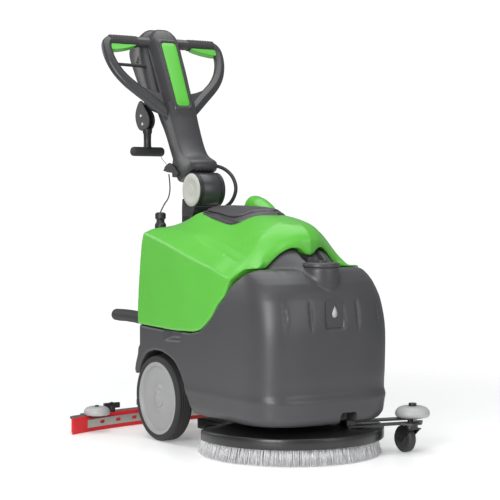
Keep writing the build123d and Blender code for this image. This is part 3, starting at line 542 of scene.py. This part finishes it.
def body_shell():
    rows = []
    for z in sorted({r[0] for r in BODY_ROWS} | set(range(120, 440, 20))):
        rows.append(body_ring(z, *(spline_value(BODY_ROWS, z, c) for c in (1, 2, 3))))
    o = raw("solution_tank_shell", skin(rows))
    pod = turned([(0, 425), (30, 432), (44, 448), (48, 468), (49, 480), (49, 509), (47, 511),
                  (0, 511)], FILLER)
    lip = []
    for z, y0, y1 in ((182, 118, 128), (194, 106, 133), (215, 98, 127), (240, 80, 116),
                      (262, 60, 113)):
        lip.append([(156, y0, z), (215, y0, z), (215, y1 - 6, z), (208, y1, z), (156, y1, z)])
    lips = [skin(lip), skin([[(-x, y, z) for x, y, z in ring] for ring in lip])]
    above = [(140, 600)] + [(y, z) for y, z in SEAM] + [(-440, 700), (140, 700)]
    rim_cut = prism(above, -260, 260, along_x)
    bay = [box((-150, 150), (-262, 104), (156, 600)), box((-194, 194), (-262, 104), (282, 600))]
    arch = smooth_loop(ARCH, 5)
    arches = [prism(arch, 154, 250, along_x), prism(arch, -250, -154, along_x)]
    well = turned([(0, 80), (82, 80), (82, 300), (0, 300)], (*BRUSH, 0))
    mouth = turned([(0, 440), (37, 440), (37, 530), (0, 530)], FILLER)
    pocket = skin([[(-240, -36, 340), (-240, -40, 290), (-240, -136, 294), (-240, -142, 340)],
                   [(-214, -38, 340), (-214, -42, 292), (-214, -134, 296), (-214, -140, 340)],
                   [(-203, -64, 340), (-203, -66, 302), (-203, -118, 305), (-203, -126, 340)]])
    seat = box((-34, 34), (-470, -424), (506, 600))
    combine(o, [rim_cut], "DIFFERENCE")
    combine(o, [pod, cheek_form()], "UNION")
    cuts = [*bay, seat, *arches, well, mouth, pocket, notch(), *front_grooves(),
            badge_seat(), *hinge_pockets(), under_space(), top_slit()]
    combine(o, lips, "UNION")
    combine(o, cuts, "DIFFERENCE")
    moulded(o, TANK_VOXEL, 5)
    return piece(o, "chassis", "grey_plastic", ["solution_tank"])


def cheek_form():
    """The cone that rises behind the filler, under the green tank's arch."""
    lobe = [(0, 558), (20, 558.5), (40, 559), (54, 557), (66, 551), (80, 541), (95, 526),
            (109, 511), (119, 502), (124, 490), (125, 470)]
    rings = []
    for y, wide, high in ((-380, 0.98, 0.96), (-412, 0.985, 0.985), (-424, 0.93, 0.97),
                          (-440, 0.83, 0.88), (-456, 0.74, 0.75), (-472, 0.65, 0.58),
                          (-486, 0.57, 0.42), (-500, 0.48, 0.28), (-512, 0.38, 0.2)):
        rings.append([(x * wide, y, 488 + (z - 488) * high if z > 488 else z)
                      for x, z in both_sides(lobe)])
    return skin(rings)


def notch():
    return box((17, 69), (-600, -520), (80, 127))


def front_grooves():
    """Shallow upright flutes on the nose, tapered at both ends."""
    out = []
    for x, deep in ((-150, 4), (-76, 4), (76, 4), (150, 4)):
        rings = []
        for z, wide in ((343, 0.6), (352, 4), (380, 6.5), (410, 6), (426, 3.5), (433, 0.6)):
            front = nose_y(x, z)
            ring = []
            for a in circle(10):
                ring.append((x + wide * math.cos(a), front + deep * 0.9 * math.sin(a) * wide / 6,
                             z))
            rings.append(ring)
        out.append(skin(rings))
    return out


def nose_y(x, z):
    """Y of the body's front surface."""
    half, nose, power = (spline_value(BODY_ROWS, z, c) for c in (1, 2, 3))
    share = min(abs(x) / half, 0.999) ** power
    return NOSE_FROM - nose * (1 - share) ** (1 / power)


def badge_seat():
    y = nose_y(0, BADGE_Z)
    return box((-29, 29), (y - 10, y + 5), (352, 428))


def hinge_pockets():
    return [box((x - 3.5, x + 3.5), (-516, -405), (448, 540)) for x in (-PIVOT_X, PIVOT_X)]


def under_space():
    return box((-150, 150), (-156, 140), (60, 150))


def top_slit():
    return prism([(-88, -474), (-88, -468), (-116, -462), (-116, -468)], 497, 520, along_z)


body_shell()


# ---- the green recovery tank ----
# The crown's height at each distance from the middle, as -Y and then the heights across.
ACROSS = (0.0, 50.0, 100.0, 150.0, 172.0, 196.0, 206.0)
CROWN = [(-113, (628, 622, 612, 610, 609, 604, 598)),
         (-60, (642, 634, 619, 611, 609, 604, 597)),
         (0, (656, 650, 636, 612, 607, 592, 584)),
         (48, (660, 658, 650, 613, 604, 582, 573)),
         (130, (657, 652, 633, 601, 589, 562, 551)),
         (230, (653, 647, 615, 576, 557, 536, 526)),
         (300, (647, 640, 608, 558, 537, 518, 510)),
         (342, (640, 633, 600, 545, 523, 504, 497)),
         (384, (630, 623, 588, 531, 510, 495, 488)),
         (412, (622, 613, 572, 523, 505, 493, 486)),
         (434, (609, 599, 558, 516, 505, 495, 488)),
         (446, (596, 586, 547, 511, 505, 498, 494)),
         (456, (578, 568, 534, 508, 506, 503, 500))]
# -Y, half width.
TANK_HALF = [(-120, 214.5), (392, 214.5), (406, 212), (420, 205), (434, 195), (446, 184),
             (456, 174)]
# The tank's rear face, as (Z, Y).
REAR = [(320, 113), (370, 113), (440, 107), (504, 99), (560, 90), (590, 80), (612, 58),
        (640, 30), (700, 20)]


def crown_height(y, x):
    rows = [(r[0],) + r[1] for r in CROWN]
    across = [(a, spline_value(rows, -y, i + 1)) for i, a in enumerate(ACROSS)]
    return spline_value(across, min(abs(x), ACROSS[-1]))


# Where the tank's front ends, as (X, Y); what lies ahead of EDGE_FROM is drawn back to it.
FRONT_EDGE = [(0, -451), (30, -444), (60, -430), (90, -417), (118, -411), (145, -420),
              (170, -423), (190, -422), (215, -418)]
EDGE_FROM, EDGE_TO = -370.0, -452.0


def tank_front(x, y, z):
    """Draws the tank's front part back to its curved front edge."""
    if y > EDGE_FROM:
        return (x, y, z)
    share = (y - EDGE_FROM) / (EDGE_TO - EDGE_FROM)
    return (x, EDGE_FROM + share * (spline_value(FRONT_EDGE, abs(x)) - EDGE_FROM), z)


def tank_ring(y):
    low = seam_floor(y) + 3
    wide = spline_value(TANK_HALF, -y)
    ring = []
    for i in range(26):
        x = (wide - 8.5) * (i / 25) ** 0.9
        ring.append((x, y, max(crown_height(y, x), low + 4)))
    top = ring[-1][2]
    for i in range(1, 7):
        a = math.pi / 2 * i / 6
        drop = min(9, (top - low) * 0.4)
        ring.append((wide - 8.5 + 8.5 * math.sin(a), y, top - drop * (1 - math.cos(a))))
    z = ring[-1][2]
    for i in range(1, 9):
        ring.append((wide, y, z + (low - z) * i / 8))
    ring.append((150, y, low))
    ring.append((0, y, low))
    return both_sides(ring)


def recovery_shell():
    levels = [113, 108] + list(range(100, -430, -10)) + [-434, -440, -446, -450, -453]
    o = raw("recovery_tank_shell", skin([tank_ring(y) for y in levels]))
    behind = [(REAR[0][1], 280)] + [(y, z) for z, y in REAR] + [(160, 700), (160, 280)]
    cuts = [prism(behind, -260, 260, along_x), front_arch(), box((-56, 76), (26, 160), (280, 720)),
            inside_space(), lid_seat(), *shoulder_grooves(), *dots()]
    combine(o, [dome_form(), horn_root()], "UNION")
    combine(o, cuts, "DIFFERENCE")
    moulded(o, TANK_VOXEL, 7)
    for vertex in o.data.vertices:
        x, y, z = vertex.co / MM
        vertex.co = at(*tank_front(x, y - AXLE_Y, z))
    piece(("tank_hinge_lugs", joined(*lugs())), "recovery", "frame_steel", bevel=0.8)
    return piece(o, "recovery", "green_plastic", ["recovery_tank"])


def front_arch():
    """Opening over the filler, with a tongue that dips to it in the middle."""
    half = [(0, 541), (8, 542), (16, 547), (24, 555), (34, 560.5), (48, 561), (62, 556),
            (78, 545), (94, 530), (108, 515), (120, 505), (126, 494), (126, 420), (0, 420)]
    return prism(both_sides(half), -370, -500, along_y)


def inside_space():
    return box((-78, 72), (-222, -70), (345, 720))


def lid_seat():
    return box((-60, 60), (-200, -80), (560, 720))


def shoulder_grooves():
    """Two moulded lines along each shoulder, and one round each side of the crown."""
    out = []
    lines = [[(171, -40), (170, -120), (170, -250), (169, -362), (168, -396)],
             [(151, -80), (150, -200), (150, -331), (149, -446)],
             [(104, -240), (105, -290), (98, -340), (80, -384), (52, -410), (22, -424),
              (2, -428)]]
    for line in lines:
        for side in (-1, 1):
            path = smooth_loop([(side * x, y, crown_height(y, x) + 1.0) for x, y in line], 6,
                               False)
            n = len(path)
            radii = [0.4 + 3.4 * min(1, 3 * i / n, 3 * (n - 1 - i) / n) for i in range(n)]
            out.append(tube(path, radii, 8))
    return out


def dots():
    """Four small dimples beside the lid."""
    out = []
    for side in (-1, 1):
        for y in (-196, -222):
            z = crown_height(y, 157)
            profile = [(0, z - 4), (3.4, z - 4), (3.4, z + 6), (0, z + 6)]
            out.append(turned(profile, (side * 157, y, 0), segments=16))
    return out


def dome_form():
    """Rounded housing of the suction inlet, on the left of the lid."""
    rows = [(76, 16, 668), (72, 24, 684), (62, 30, 696), (40, 34, 702), (10, 35, 702),
            (-20, 35, 694), (-50, 33, 680), (-75, 27, 664), (-92, 17, 650), (-98, 8, 640)]
    rings = []
    for y, half, z in rows:
        ring = [(134 + half * math.cos(math.pi * i / 20), y,
                 z - 40 + 40 * math.sin(math.pi * i / 20) ** 0.8) for i in range(21)]
        ring += [(134 - half, y, 600), (134 + half, y, 600)]
        rings.append(ring)
    return skin(rings)


def horn_root():
    """Boss on the tank's rear that the lifting grip is pushed on."""
    return tube([(HORN_X, y, HORN_Z) for y in (84, 118, 134, 138)], [23, 23, 22, 18], 24)


def lugs():
    """Steel goosenecks from the tank's front edge down into the pockets."""
    outline = rounded([(-404, 496), (-404, 484), (-446, 482), (-490, 461), (-504, 461), (-510, 470),
                       (-506, 479), (-494, 481), (-450, 495)], 4, 3)
    return [prism(outline, x - 2.5, x + 2.5, along_x) for x in (-PIVOT_X, PIVOT_X)]


recovery_shell()


def tank_lid():
    """Leaf-shaped lid in two steps."""
    shapes = []
    rows = [(-52, 84), (-56, 95), (-66, 100), (-130, 100), (-190, 100), (-214, 97), (-232, 86),
            (-252, 62), (-272, 38), (-288, 18), (-299, 3)]
    for lift, thick, shrink in ((-6, 13, 1.0), (7, 6, 0.86)):
        rings = []
        for y, half in rows:
            yy = -130 + (y + 130) * (1 - (1 - shrink) * 0.7)
            half = half - (1 - shrink) * 100 if half > 30 else half * shrink
            half = max(half, 1.5)
            top, under = [], []
            for i in range(13):
                x = half * (1 - 2 * i / 12)
                z = lid_height(yy, x) + lift
                edge = 1 - abs(1 - 2 * i / 12) ** 6
                top.append((x, yy, z + thick * (0.45 + 0.55 * edge)))
                under.append((x, yy, z))
            rings.append(top + under[::-1])
        shapes.append(skin(rings))
    hinge = tube([(-36, -45, 668), (36, -45, 668)], 5)
    arm = box((-34, 34), (-66, -44), (664, 670))
    return piece(("lid_cover", joined(*shapes, hinge, arm)), "lid", "lid_plastic", ["tank_lid"],
                 bevel=2.0)


def lid_height(y, x):
    crown = spline_value([(40, 661), (130, 660), (230, 656), (300, 648)], -y)
    edge = spline_value([(40, 652), (130, 640), (230, 622), (300, 640)], -y)
    return crown + (edge - crown) * (abs(x) / 100) ** 2


tank_lid()


# ---- filler ----
def filler():
    """The cap on the filler, with its raised back, and the ramp behind it."""
    cap = [(0, 504.6), (36, 504.6), (36, 511.6), (48, 511.6), (49.3, 512.4), (49.8, 514),
           (49.8, 519), (48, 522), (44, 523.6), (30, 524.3), (0, 524.5)]
    o = raw("filler_cap_cover", turned(cap, FILLER, segments=96))
    combine(o, [box((-60, 60), (-458, -430), (480, 540))], "DIFFERENCE")
    wedge = rounded([(-24, -461), (24, -461), (10, -512), (-10, -512)], 8)
    rib = prism(wedge, 523, 528.5, along_z)
    combine(o, [rib], "UNION")
    piece(o, "cap", "lid_plastic", ["filler_cap"], bevel=0.8)
    lobes = []
    for side in (-1, 1):
        low = [(6, 506), (6, 513), (20, 514), (44, 514), (56, 512), (60, 506)]
        high = [(6, 506), (6, 540), (22, 552), (44, 556), (60, 548), (66, 506)]
        lobes.append(skin([[(side * x, -456, z) for x, z in low],
                           [(side * x, -424, z) for x, z in high]]))
    collar = turned([(40, 505.3), (49, 505.3), (49, 511), (40, 511)], FILLER, segments=96)
    spine = box((-8, 8), (-455, -424), (506, 536))
    return piece(("filler_ramp", joined(*lobes, collar, spine)), "chassis",
                 "lid_plastic", ["filler_neck"], bevel=2.5)


filler()


# ---- the handle ----
# Distance up the column, half width, front, back.
NECK = [(53, 44, 36, -60), (60, 45, 41, -66), (68, 45.5, 43, -69), (76, 45.6, 42, -69),
        (84, 45.5, 36, -69), (94, 45.2, 26, -68.5), (106, 45, 15, -68), (125, 44.5, 6, -68),
        (160, 45, 1, -70), (200, 45.5, 0, -72), (240, 46.5, 0, -76), (262, 47.5, 1, -80),
        (300, 49, 3, -84)]
# Distance up the column, half width, front.
SHIELD = [(238, 45.5, -1), (262, 48, 2.5), (290, 49.5, 4.5), (330, 51, 5), (430, 54, 5),
          (500, 55.5, 4), (520, 53.5, 2),
          (538, 46, -3), (550, 36, -9), (558, 25, -16), (562, 12, -24)]


def neck():
    """The column, swelling to a lip at its foot, where it fits round the drum."""
    rings = []
    for up in [53, 57, 62, 68, 74, 78, 82] + list(range(88, 301, 8)):
        half, front, back = (spline_value(NECK, up, c) for c in (1, 2, 3))
        ring = [(0, front), (half * 0.45, front - 0.6), (half * 0.8, front - 2.5)]
        ring += [(half - 2, front - 6), (half, front - 12), (half, (front + back) / 2),
                 (half, back + 18), (half - 5, back + 5), (half - 18, back), (0, back)]
        rings.append([on_handle(x, up, out) for x, out in both_sides(ring)])
    o = raw("handle_neck", skin(rings))
    combine(o, [tube([(-60, *DRUM[1:]), (60, *DRUM[1:])], 54.5, 64)], "DIFFERENCE")
    return piece(o, "handle", "handle_plastic", ["handle_column"], sharp=28)


def shield_front(x, half, front):
    """How far out the shield's surface lies at x; it falls away towards its edges."""
    share = min(abs(x) / half, 1)
    return front - 3 * share ** 2 - 30 * max(share - 0.55, 0) ** 2 / 0.2


def shield():
    """Flat-backed front plate between the two loops."""
    rings = []
    for up in list(range(238, 500, 12)) + list(range(500, 560, 5)) + [562]:
        half, front = (spline_value(SHIELD, up, c) for c in (1, 2))
        ring = []
        for i in range(15):
            x = half * i / 14
            ring.append((x, shield_front(x, half, front)))
        ring += [(half - 1.5, -38), (half - 8, -42), (0, -42)]
        rings.append([on_handle(x, up, min(out, front)) for x, out in both_sides(ring)])
    o = raw("handle_shield", skin(rings))
    return piece(o, "handle", "handle_plastic", ["handle_frame"])


# Middle line of a hand loop: X, distance up the column, half width.
LOOP = [(28, 516, 16), (60, 517, 16.5), (92, 517, 16), (140, 517, 15.5), (172, 516.5, 15.5),
        (187, 512, 16), (195.5, 501, 16), (198, 484, 16), (196, 458, 16), (188, 430, 16.5),
        (174, 402, 17), (152, 374, 17.5), (124, 348, 18), (94, 322, 18.5), (66, 296, 18),
        (40, 272, 17)]


def handle_loop(side):
    """One hand loop, thick and rounded, and the web that joins its foot to the shield."""
    path = smooth_loop(LOOP, 6, False)
    rings = []
    for i, (x, up, half) in enumerate(path):
        a, b = path[max(i - 1, 0)], path[min(i + 1, len(path) - 1)]
        way = Vector((b[0] - a[0], b[1] - a[1])).normalized()
        across = Vector((-way[1], way[0]))
        ring = []
        for t in circle(24):
            c, s = math.cos(t), math.sin(t)
            u = half * math.copysign(abs(c) ** 0.8, c)
            v = 12.5 * math.copysign(abs(s) ** 0.75, s)
            v += 4 * math.exp(-((u + 2) / 4.5) ** 2) if s > 0 else 0
            ring.append(on_handle(side * (x + across[0] * u), up + across[1] * u, GRIP_OUT + v))
        rings.append(ring)
    web = smooth_loop([(38, 240), (52, 262), (64, 284), (90, 308), (122, 338), (146, 368),
                       (140, 376), (112, 358), (80, 345), (52, 338), (38, 336)], 4)
    flat = prism([(side * x, up) for x, up in web], -42, -23, on_handle)
    name = "handle_loop_left" if side > 0 else "handle_loop_right"
    return piece((name, joined(skin(rings), flat)), "handle", "handle_plastic", bevel=3.5)


def handle_grip(side):
    """Ribbed rubber sleeve over the upper bar of a loop."""
    rings = []
    steps = 84
    for i in range(steps + 1):
        x = 92 + 92 * i / steps
        end = min(1, 6 * i / steps, 6 * (steps - i) / steps)
        wave = 1.1 * max(math.sin(2 * math.pi * x / 9.2), -0.2) * end
        ring = []
        for t in circle(28):
            c, s = math.cos(t), math.sin(t)
            r = 1.0 + wave * (1 if c > -0.2 else 0)
            u = (16.5 + r) * math.copysign(abs(c) ** 0.8, c)
            v = (14.8 + r * 0.6) * math.copysign(abs(s) ** 0.8, s)
            ring.append(on_handle(side * x, GRIP_UP + u, GRIP_OUT + v))
        rings.append(ring)
    name = "grip_left" if side > 0 else "grip_right"
    return piece((name, skin(rings)), "handle", "rubber", ["handle_grips"] if side > 0 else ())


def trigger(side):
    """Squeeze trigger under a grip, thick at its outer end."""
    outline = smooth_loop([(100, 501), (140, 501), (183, 501), (187, 496), (186, 484), (180, 481),
                           (160, 483), (130, 489), (108, 496)], 4)
    shape = prism([(side * x, up) for x, up in outline], -44, -22, on_handle)
    name = "trigger_left" if side > 0 else "trigger_right"
    return piece((name, shape), "triggers", "green_trim",
                 ["drive_triggers"] if side > 0 else (), bevel=2.0)


def housing():
    """Control housing behind the shield; its rows are distance up, half width, front, back."""
    table = [(292, 50, -50, -76), (300, 62, -42, -84), (330, 74, -38, -98), (380, 77, -36, -108),
             (430, 78, -34, -118), (480, 77, -32, -128), (506, 75, -28, -134), (532, 70, -24, -138),
             (548, 62, -24, -135), (560, 50, -30, -126), (572, 32, -44, -112), (578, 12, -60, -94)]
    rings = []
    for up in list(range(292, 500, 13)) + list(range(500, 572, 6)) + [572, 576, 578]:
        half, front, back = (spline_value(table, up, c) for c in (1, 2, 3))
        mid, deep = (front + back) / 2, (front - back) / 2
        ring = []
        for k in range(17):
            t = math.pi * k / 16
            c, s = math.cos(t), math.sin(t)
            ring.append((half * abs(s) ** 0.42, mid + deep * math.copysign(abs(c) ** 0.5, c)))
        ring[0] = (0, ring[0][1])
        ring[-1] = (0, ring[-1][1])
        rings.append([on_handle(x, up, out) for x, out in both_sides(ring)])
    o = raw("control_housing", skin(rings))
    hole = tube([on_handle(-90, 470, -66), on_handle(-70, 470, -66)], 7, 24)
    combine(o, [hole], "DIFFERENCE")
    return piece(o, "handle", "handle_plastic", ["rear_housing"])


def inlay():
    """Green inlay in a rounded frame on the shield's front."""
    def ring(half_top, half_low, low, high, lift, shrink=1.0):
        outline = rounded([(-half_low, low), (half_low, low), (half_top, high), (-half_top, high)],
                          12, 6)
        middle = (low + high) / 2
        points = []
        for x, up in outline:
            x, up = x * shrink, middle + (up - middle) * (0.35 + 0.65 * shrink)
            half, front = (spline_value(SHIELD, up, c) for c in (1, 2))
            points.append(on_handle(x, up, shield_front(x, half, front) + lift))
        return points
    green = skin([ring(26, 23, 280, 498, -3), ring(26, 23, 280, 498, 0.6),
                  ring(25, 22, 281, 497, 1.6)] +
                 [ring(25, 22, 281, 497, 1.9, k) for k in (0.8, 0.6, 0.4, 0.2, 0.02)])
    piece(("shield_inlay", green), "handle", "green_trim", ["handle_inlay"])
    rim = skin([ring(27.5, 24.5, 278, 500, -2), ring(27.5, 24.5, 278, 500, 1.2),
                ring(28.5, 25.5, 277, 501, 2.6), ring(32, 29, 272, 506, 2.8),
                ring(36, 33, 266, 512, 0.6), ring(37, 34, 265, 513, -2)], caps=False)
    return piece(("shield_rim", rim), "handle", "handle_plastic")


neck()
shield()
for loop_side in (-1, 1):
    handle_loop(loop_side)
    handle_grip(loop_side)
housing()
inlay()


# ---- the joint ----
def joint():
    """The drum that the handle tilts on, its light caps, and the teeth of the neck's foot."""
    caps = []
    for side in (-1, 1):
        cap = [(0, 47), (14, 47), (15, 46), (31, 46), (33, 47.2), (45, 47.2), (48.5, 45), (49, 43),
               (0, 43)]
        caps.append(turned([(r, side * h) for r, h in cap], DRUM, "x", 80))
    drum = [(0, -30), (51.5, -30), (52, -29), (52, 29), (51.5, 30), (0, 30)]
    piece(("joint_cap_discs", joined(*caps)), "chassis", "light_plastic", ["joint_caps"], sharp=40)
    piece(("joint_barrel", turned(drum, DRUM, "x", 96)), "handle", "handle_plastic",
          ["joint_drum"], sharp=30)
    teeth = []
    for i in range(5):
        x = -26 + 13 * i
        outline = [(x - 4.5, 50), (x + 4.5, 50), (x + 4.5, 62), (x - 4.5, 62)]
        teeth.append(prism(outline, -4, 32, on_handle))
    piece(("joint_teeth", joined(*teeth)), "handle", "handle_plastic", bevel=1.0)


joint()


# ---- wheels ----
def wheel(side):
    """Tyre, rim and hub; each profile is (radius, distance in from the outer face)."""
    name = "left" if side > 0 else "right"
    axle = (0, 0, WHEEL_R)

    def across(profile):
        return [(r, side * (WHEEL_OUT - h)) for r, h in profile]
    tread = [(104, 2), (106, 0.6), (110, 0), (115, 0.4), (119, 3), (121.4, 7), (WHEEL_R, 11)]
    for i in range(5):
        tread += [(WHEEL_R, 13 + i * 5.6), (120.6, 13.6 + i * 5.6), (120.6, 14.6 + i * 5.6),
                  (WHEEL_R, 15.2 + i * 5.6)]
    tread += [(WHEEL_R, 40), (121, 44), (117, 49), (110, 50), (104, 50)]
    piece((name + "_tyre_tread", turned(across(tread), axle, "x", 120)),
          "wheel_" + name, "tyre", [name + "_tyre"])
    disc = [(0.1, 9), (20, 9), (24, 8), (31, 6.5), (34, 7.5), (38, 11), (42, 12), (60, 11.6),
            (86, 10.4), (89, 10), (91, 7), (92, 4), (94, 2), (98, 1.4), (102, 1.6),
            (103.8, 2.6), (103.8, 48), (96, 48), (90, 20), (30, 20), (0.1, 20)]
    piece((name + "_wheel_disc", turned(across(disc), axle, "x", 120)),
          "wheel_" + name, "rim_plastic", [name + "_rim"], sharp=35)
    hub = [(0.1, 0.5), (11, 0.5), (13, 1.4), (14, 3), (15, 4), (23, 5), (25, 6.5), (26, 10),
           (0.1, 10)]
    piece((name + "_hub", turned(across(hub), axle, "x", 64)),
          "wheel_" + name, "light_plastic", [name + "_hubcap"], look="rim_plastic")


wheel(1)
wheel(-1)


# ---- brush and deck ----
def brush():
    """Rings of three-sided bristles that lean outwards, round a solid core."""
    random.seed(11)
    verts, faces = [], []
    for top_r, foot_r, count in ((236, 250.5, 420), (228, 240, 330), (216, 226, 240),
                                 (190, 197, 160), (150, 155, 120)):
        for i in range(count):
            angle = 2 * math.pi * (i + random.uniform(-0.3, 0.3)) / count
            for _ in range(4):
                a = angle + random.uniform(-0.006, 0.006)
                b = a + random.uniform(-0.012, 0.012)
                r0, r1 = top_r + random.uniform(-3, 3), foot_r + random.uniform(-4, 1.2)
                low = random.uniform(0, 1.6)
                base = len(verts)
                for angle_, r, z, wide in ((a, r0, 46, 1.1), (b, r1, low, 0.8)):
                    for t in circle(3):
                        verts.append((BRUSH[0] + r * math.cos(angle_) + wide * math.cos(t),
                                      BRUSH[1] + r * math.sin(angle_) + wide * math.sin(t), z))
                for k in range(3):
                    m = (k + 1) % 3
                    faces.append((base + k, base + m, base + 3 + m, base + 3 + k))
                faces.append((base + 3, base + 4, base + 5))
    core = turned([(120, 6), (222, 6), (230, 46), (110, 46)], (*BRUSH, 0), segments=120)
    core_ring = joined((verts, faces), core)
    return piece(("brush_tufts", core_ring), "brush", "bristle", ["bristles"])


def deck_ring(grow, z):
    """One level of the deck: an arc round the brush and a square tail."""
    ring = []
    radius = 258 + grow
    for a in range(167, 374, 3):
        ring.append((BRUSH[0] + radius * math.cos(math.radians(a)),
                     BRUSH[1] + radius * math.sin(math.radians(a)), z))
    corners = [(143 + grow, -230), (143 + grow, -98 + grow), (-143 - grow, -98 + grow),
               (-143 - grow, -230)]
    tail = rounded(corners + [(-143 - grow, -250), (143 + grow, -250)], 12, 4)
    tail = [p for p in tail if p[1] > -232]
    right = sorted([p for p in tail if p[0] > 0], key=lambda p: (p[1], -p[0]))
    left = [(-x, y) for x, y in reversed(right)]
    return ring + [(x, y, z) for x, y in right + left]


def deck():
    levels = [(-6, 46), (-1, 44), (0, 45.5), (0, 69), (-1, 71.5), (-4, 73), (-11, 73.6),
              (-40, 75), (-60, 78), (-90, 84)]
    rings = [deck_ring(g, z) for g, z in levels]
    o = raw("deck_shell", skin(rings))
    return piece(o, "chassis", "deck_plastic", ["deck_cover"])


brush()
deck()


# ---- the squeegee ----
BEND_R, BEND_MID = 960.0, 318.0        # radius of the squeegee's curve, and Y of its middle
BOLT_R = 6.2                           # bore of a bumper roller


def bent_bar(front, back, low, high, half, start=None, steps=60):
    """A bar along the squeegee's curve."""
    start = -half if start is None else start
    rings = []
    centre = BEND_MID - BEND_R
    for i in range(steps + 1):
        a = math.asin((start + (half - start) * i / steps) / BEND_R)
        ring = []
        for r, z in ((front, low), (back, low), (back, high), (front, high)):
            ring.append(((BEND_R + r) * math.sin(a), centre + (BEND_R + r) * math.cos(a), z))
        rings.append(ring)
    return skin(rings)


def squeegee():
    """Two red blades, the front one with tabs between the knobs, and their slotted straps."""
    tabs = [bent_bar(-16, -11.4, 42, 48, half, start, steps)
            for half, start, steps in ((371, 302, 8), (253, 29, 60), (-29, -253, 60),
                                       (-302, -371, 8))]
    blades = joined(bent_bar(-16, -11.4, 0, 42, 371), bent_bar(11.4, 16, 0, 40.6, 345), *tabs)
    piece(("squeegee_lips", blades), "squeegee", "blade_rubber", ["squeegee_blades"], bevel=0.6)
    strap = raw("squeegee_straps", joined(bent_bar(-18.6, -16.1, 12, 36, 312),
                                          bent_bar(16.1, 18.6, 12, 36, 300)))
    holes = []
    for i in range(-4, 5):
        x = i * 62
        slot = rounded([(x - 9, 20), (x + 9, 20), (x + 9, 30), (x - 9, 30)], 5, 5)
        holes.append(prism(slot, 200, 400, along_y))
    combine(strap, holes, "DIFFERENCE")
    piece(strap, "squeegee", "steel", ["blade_straps"], bevel=0.4)


def roller(name, x, y, low, radius, high, body, node):
    """Domed bumper roller with a bore for its bolt."""
    h = high - low
    dome = [(0.84, 0), (0.96, 0.08), (1, 0.25), (0.99, 0.45), (0.93, 0.65), (0.8, 0.84),
            (0.6, 0.95), (0.36, 1)]
    profile = [(BOLT_R, low)] + [(radius * r, low + h * up) for r, up in dome]
    profile += [(radius * 0.33, high - 1), (BOLT_R, high - 1)]
    return piece((name, turned(profile, (x, y, 0), segments=80)), body, "roller_plastic", [node])


squeegee()
for roller_side, roller_name in ((-1, "right"), (1, "left")):
    roller("squeegee_bumper_" + roller_name, roller_side * 275, 250, 49, 39, 75,
           "roller_" + roller_name, "squeegee_roller_" + roller_name)
roller("corner_bumper", 290, -530, 92.5, 48, 124, "bumper", "front_roller")


# ---- badge, lever, grip horn ----
def badge():
    """Plain plate in the nose's recess, with a generic drop on it."""
    y = nose_y(0, BADGE_Z) + 5
    outline = rounded([(-27, 354), (27, 354), (27, 426), (-27, 426)], 4)
    plate = prism(outline, y, y - 3.4, along_y)
    piece(("nose_badge", plate), "chassis", "grey_plastic", ["badge_plate"], bevel=1.0)
    drop = []
    for a in circle(32):
        drop.append((11 * math.sin(a) * math.sin(a / 2) ** 1.2, 396 + 15 * math.cos(a)))
    shape = prism(drop, y - 3.2, y - 4.4, along_y)
    return piece(("badge_drop", shape), "chassis", "roller_plastic")


def lever():
    """Forked squeegee lever: two cheeks, a block between them, a round stem and a T-grip."""
    x = LEVER_X
    cheek = smooth_loop([(336, 990), (346, 994), (357, 989), (372, 968), (377, 948), (370, 924),
                         (352, 905), (322, 901), (302, 910), (291, 927), (296, 948), (318, 970)], 3)
    shapes = [prism(cheek, x - 11, x - 6, along_x), prism(cheek, x + 6, x + 11, along_x)]
    core = smooth_loop([(338, 982), (352, 980), (364, 962), (366, 944), (356, 926), (338, 912),
                        (320, 912), (306, 924), (312, 944), (326, 966)], 3)
    shapes.append(prism(core, x - 6, x + 6, along_x))
    stem = [(320, 906, 15), (320, 896, 14.5), (320, 890, 12), (320, 870, 11.5), (320, 852, 12),
            (320, 848, 14)]
    shapes.append(tube([(x, y, z) for y, z, _ in stem], [r for _, _, r in stem], 28))
    o = raw("squeegee_lever_fork", joined(*shapes))
    piece(o, "lever", "black_plastic", ["squeegee_lever"], bevel=1.2)
    screws = [turned([(0, -12.5), (4.5, -12.5), (5, -11), (0, -11)], (x, y, z), "x", 24)
              for y, z in ((340, 948), (330, 922))]
    piece(("lever_screws", joined(*screws)), "lever", "steel", sharp=30)
    rings = []
    for i in range(41):
        t = i / 40
        end = min(t, 1 - t) * 40
        size = 11.5 + 3.0 * min(end / 2.5, 1) ** 0.5
        ring = []
        for k, a in enumerate(circle(40)):
            r = size - (0.7 if k % 4 == 0 and end > 2 else 0)
            ring.append((x - 54.5 + 109 * t, 320 + r * math.cos(a), 837 + r * math.sin(a)))
        rings.append(ring)
    return piece(("lever_t_grip", skin(rings)), "lever", "rubber", ["lever_grip"])


def horn():
    """Fat lifting grip with a ribbed underside, at the tank's rear right corner."""
    rings = []
    path = [(116, 16), (128, 17.4)] + [(132 + 4 * i, 17.4) for i in range(37)]
    path += [(281 + 1.5 * i, 17.4 * math.cos(math.radians(7.5 * i))) for i in range(1, 12)]
    for i, (y, r) in enumerate(path):
        ring = []
        for a in circle(32):
            rib = 1.6 * math.sin(2 * math.pi * (y - 128) / 13) if 130 < y < 270 else 0
            under = max(-math.sin(a), 0) ** 2
            ring.append((HORN_X + (r + rib * under) * math.cos(a), y,
                         HORN_Z + (r + rib * under) * math.sin(a) + 3 * math.sin((y - 112) / 60)))
        rings.append(ring)
    return piece(("lifting_grip", skin(rings)), "recovery", "rubber", ["tank_grip"])


badge()
lever()
horn()
trigger(1)
trigger(-1)
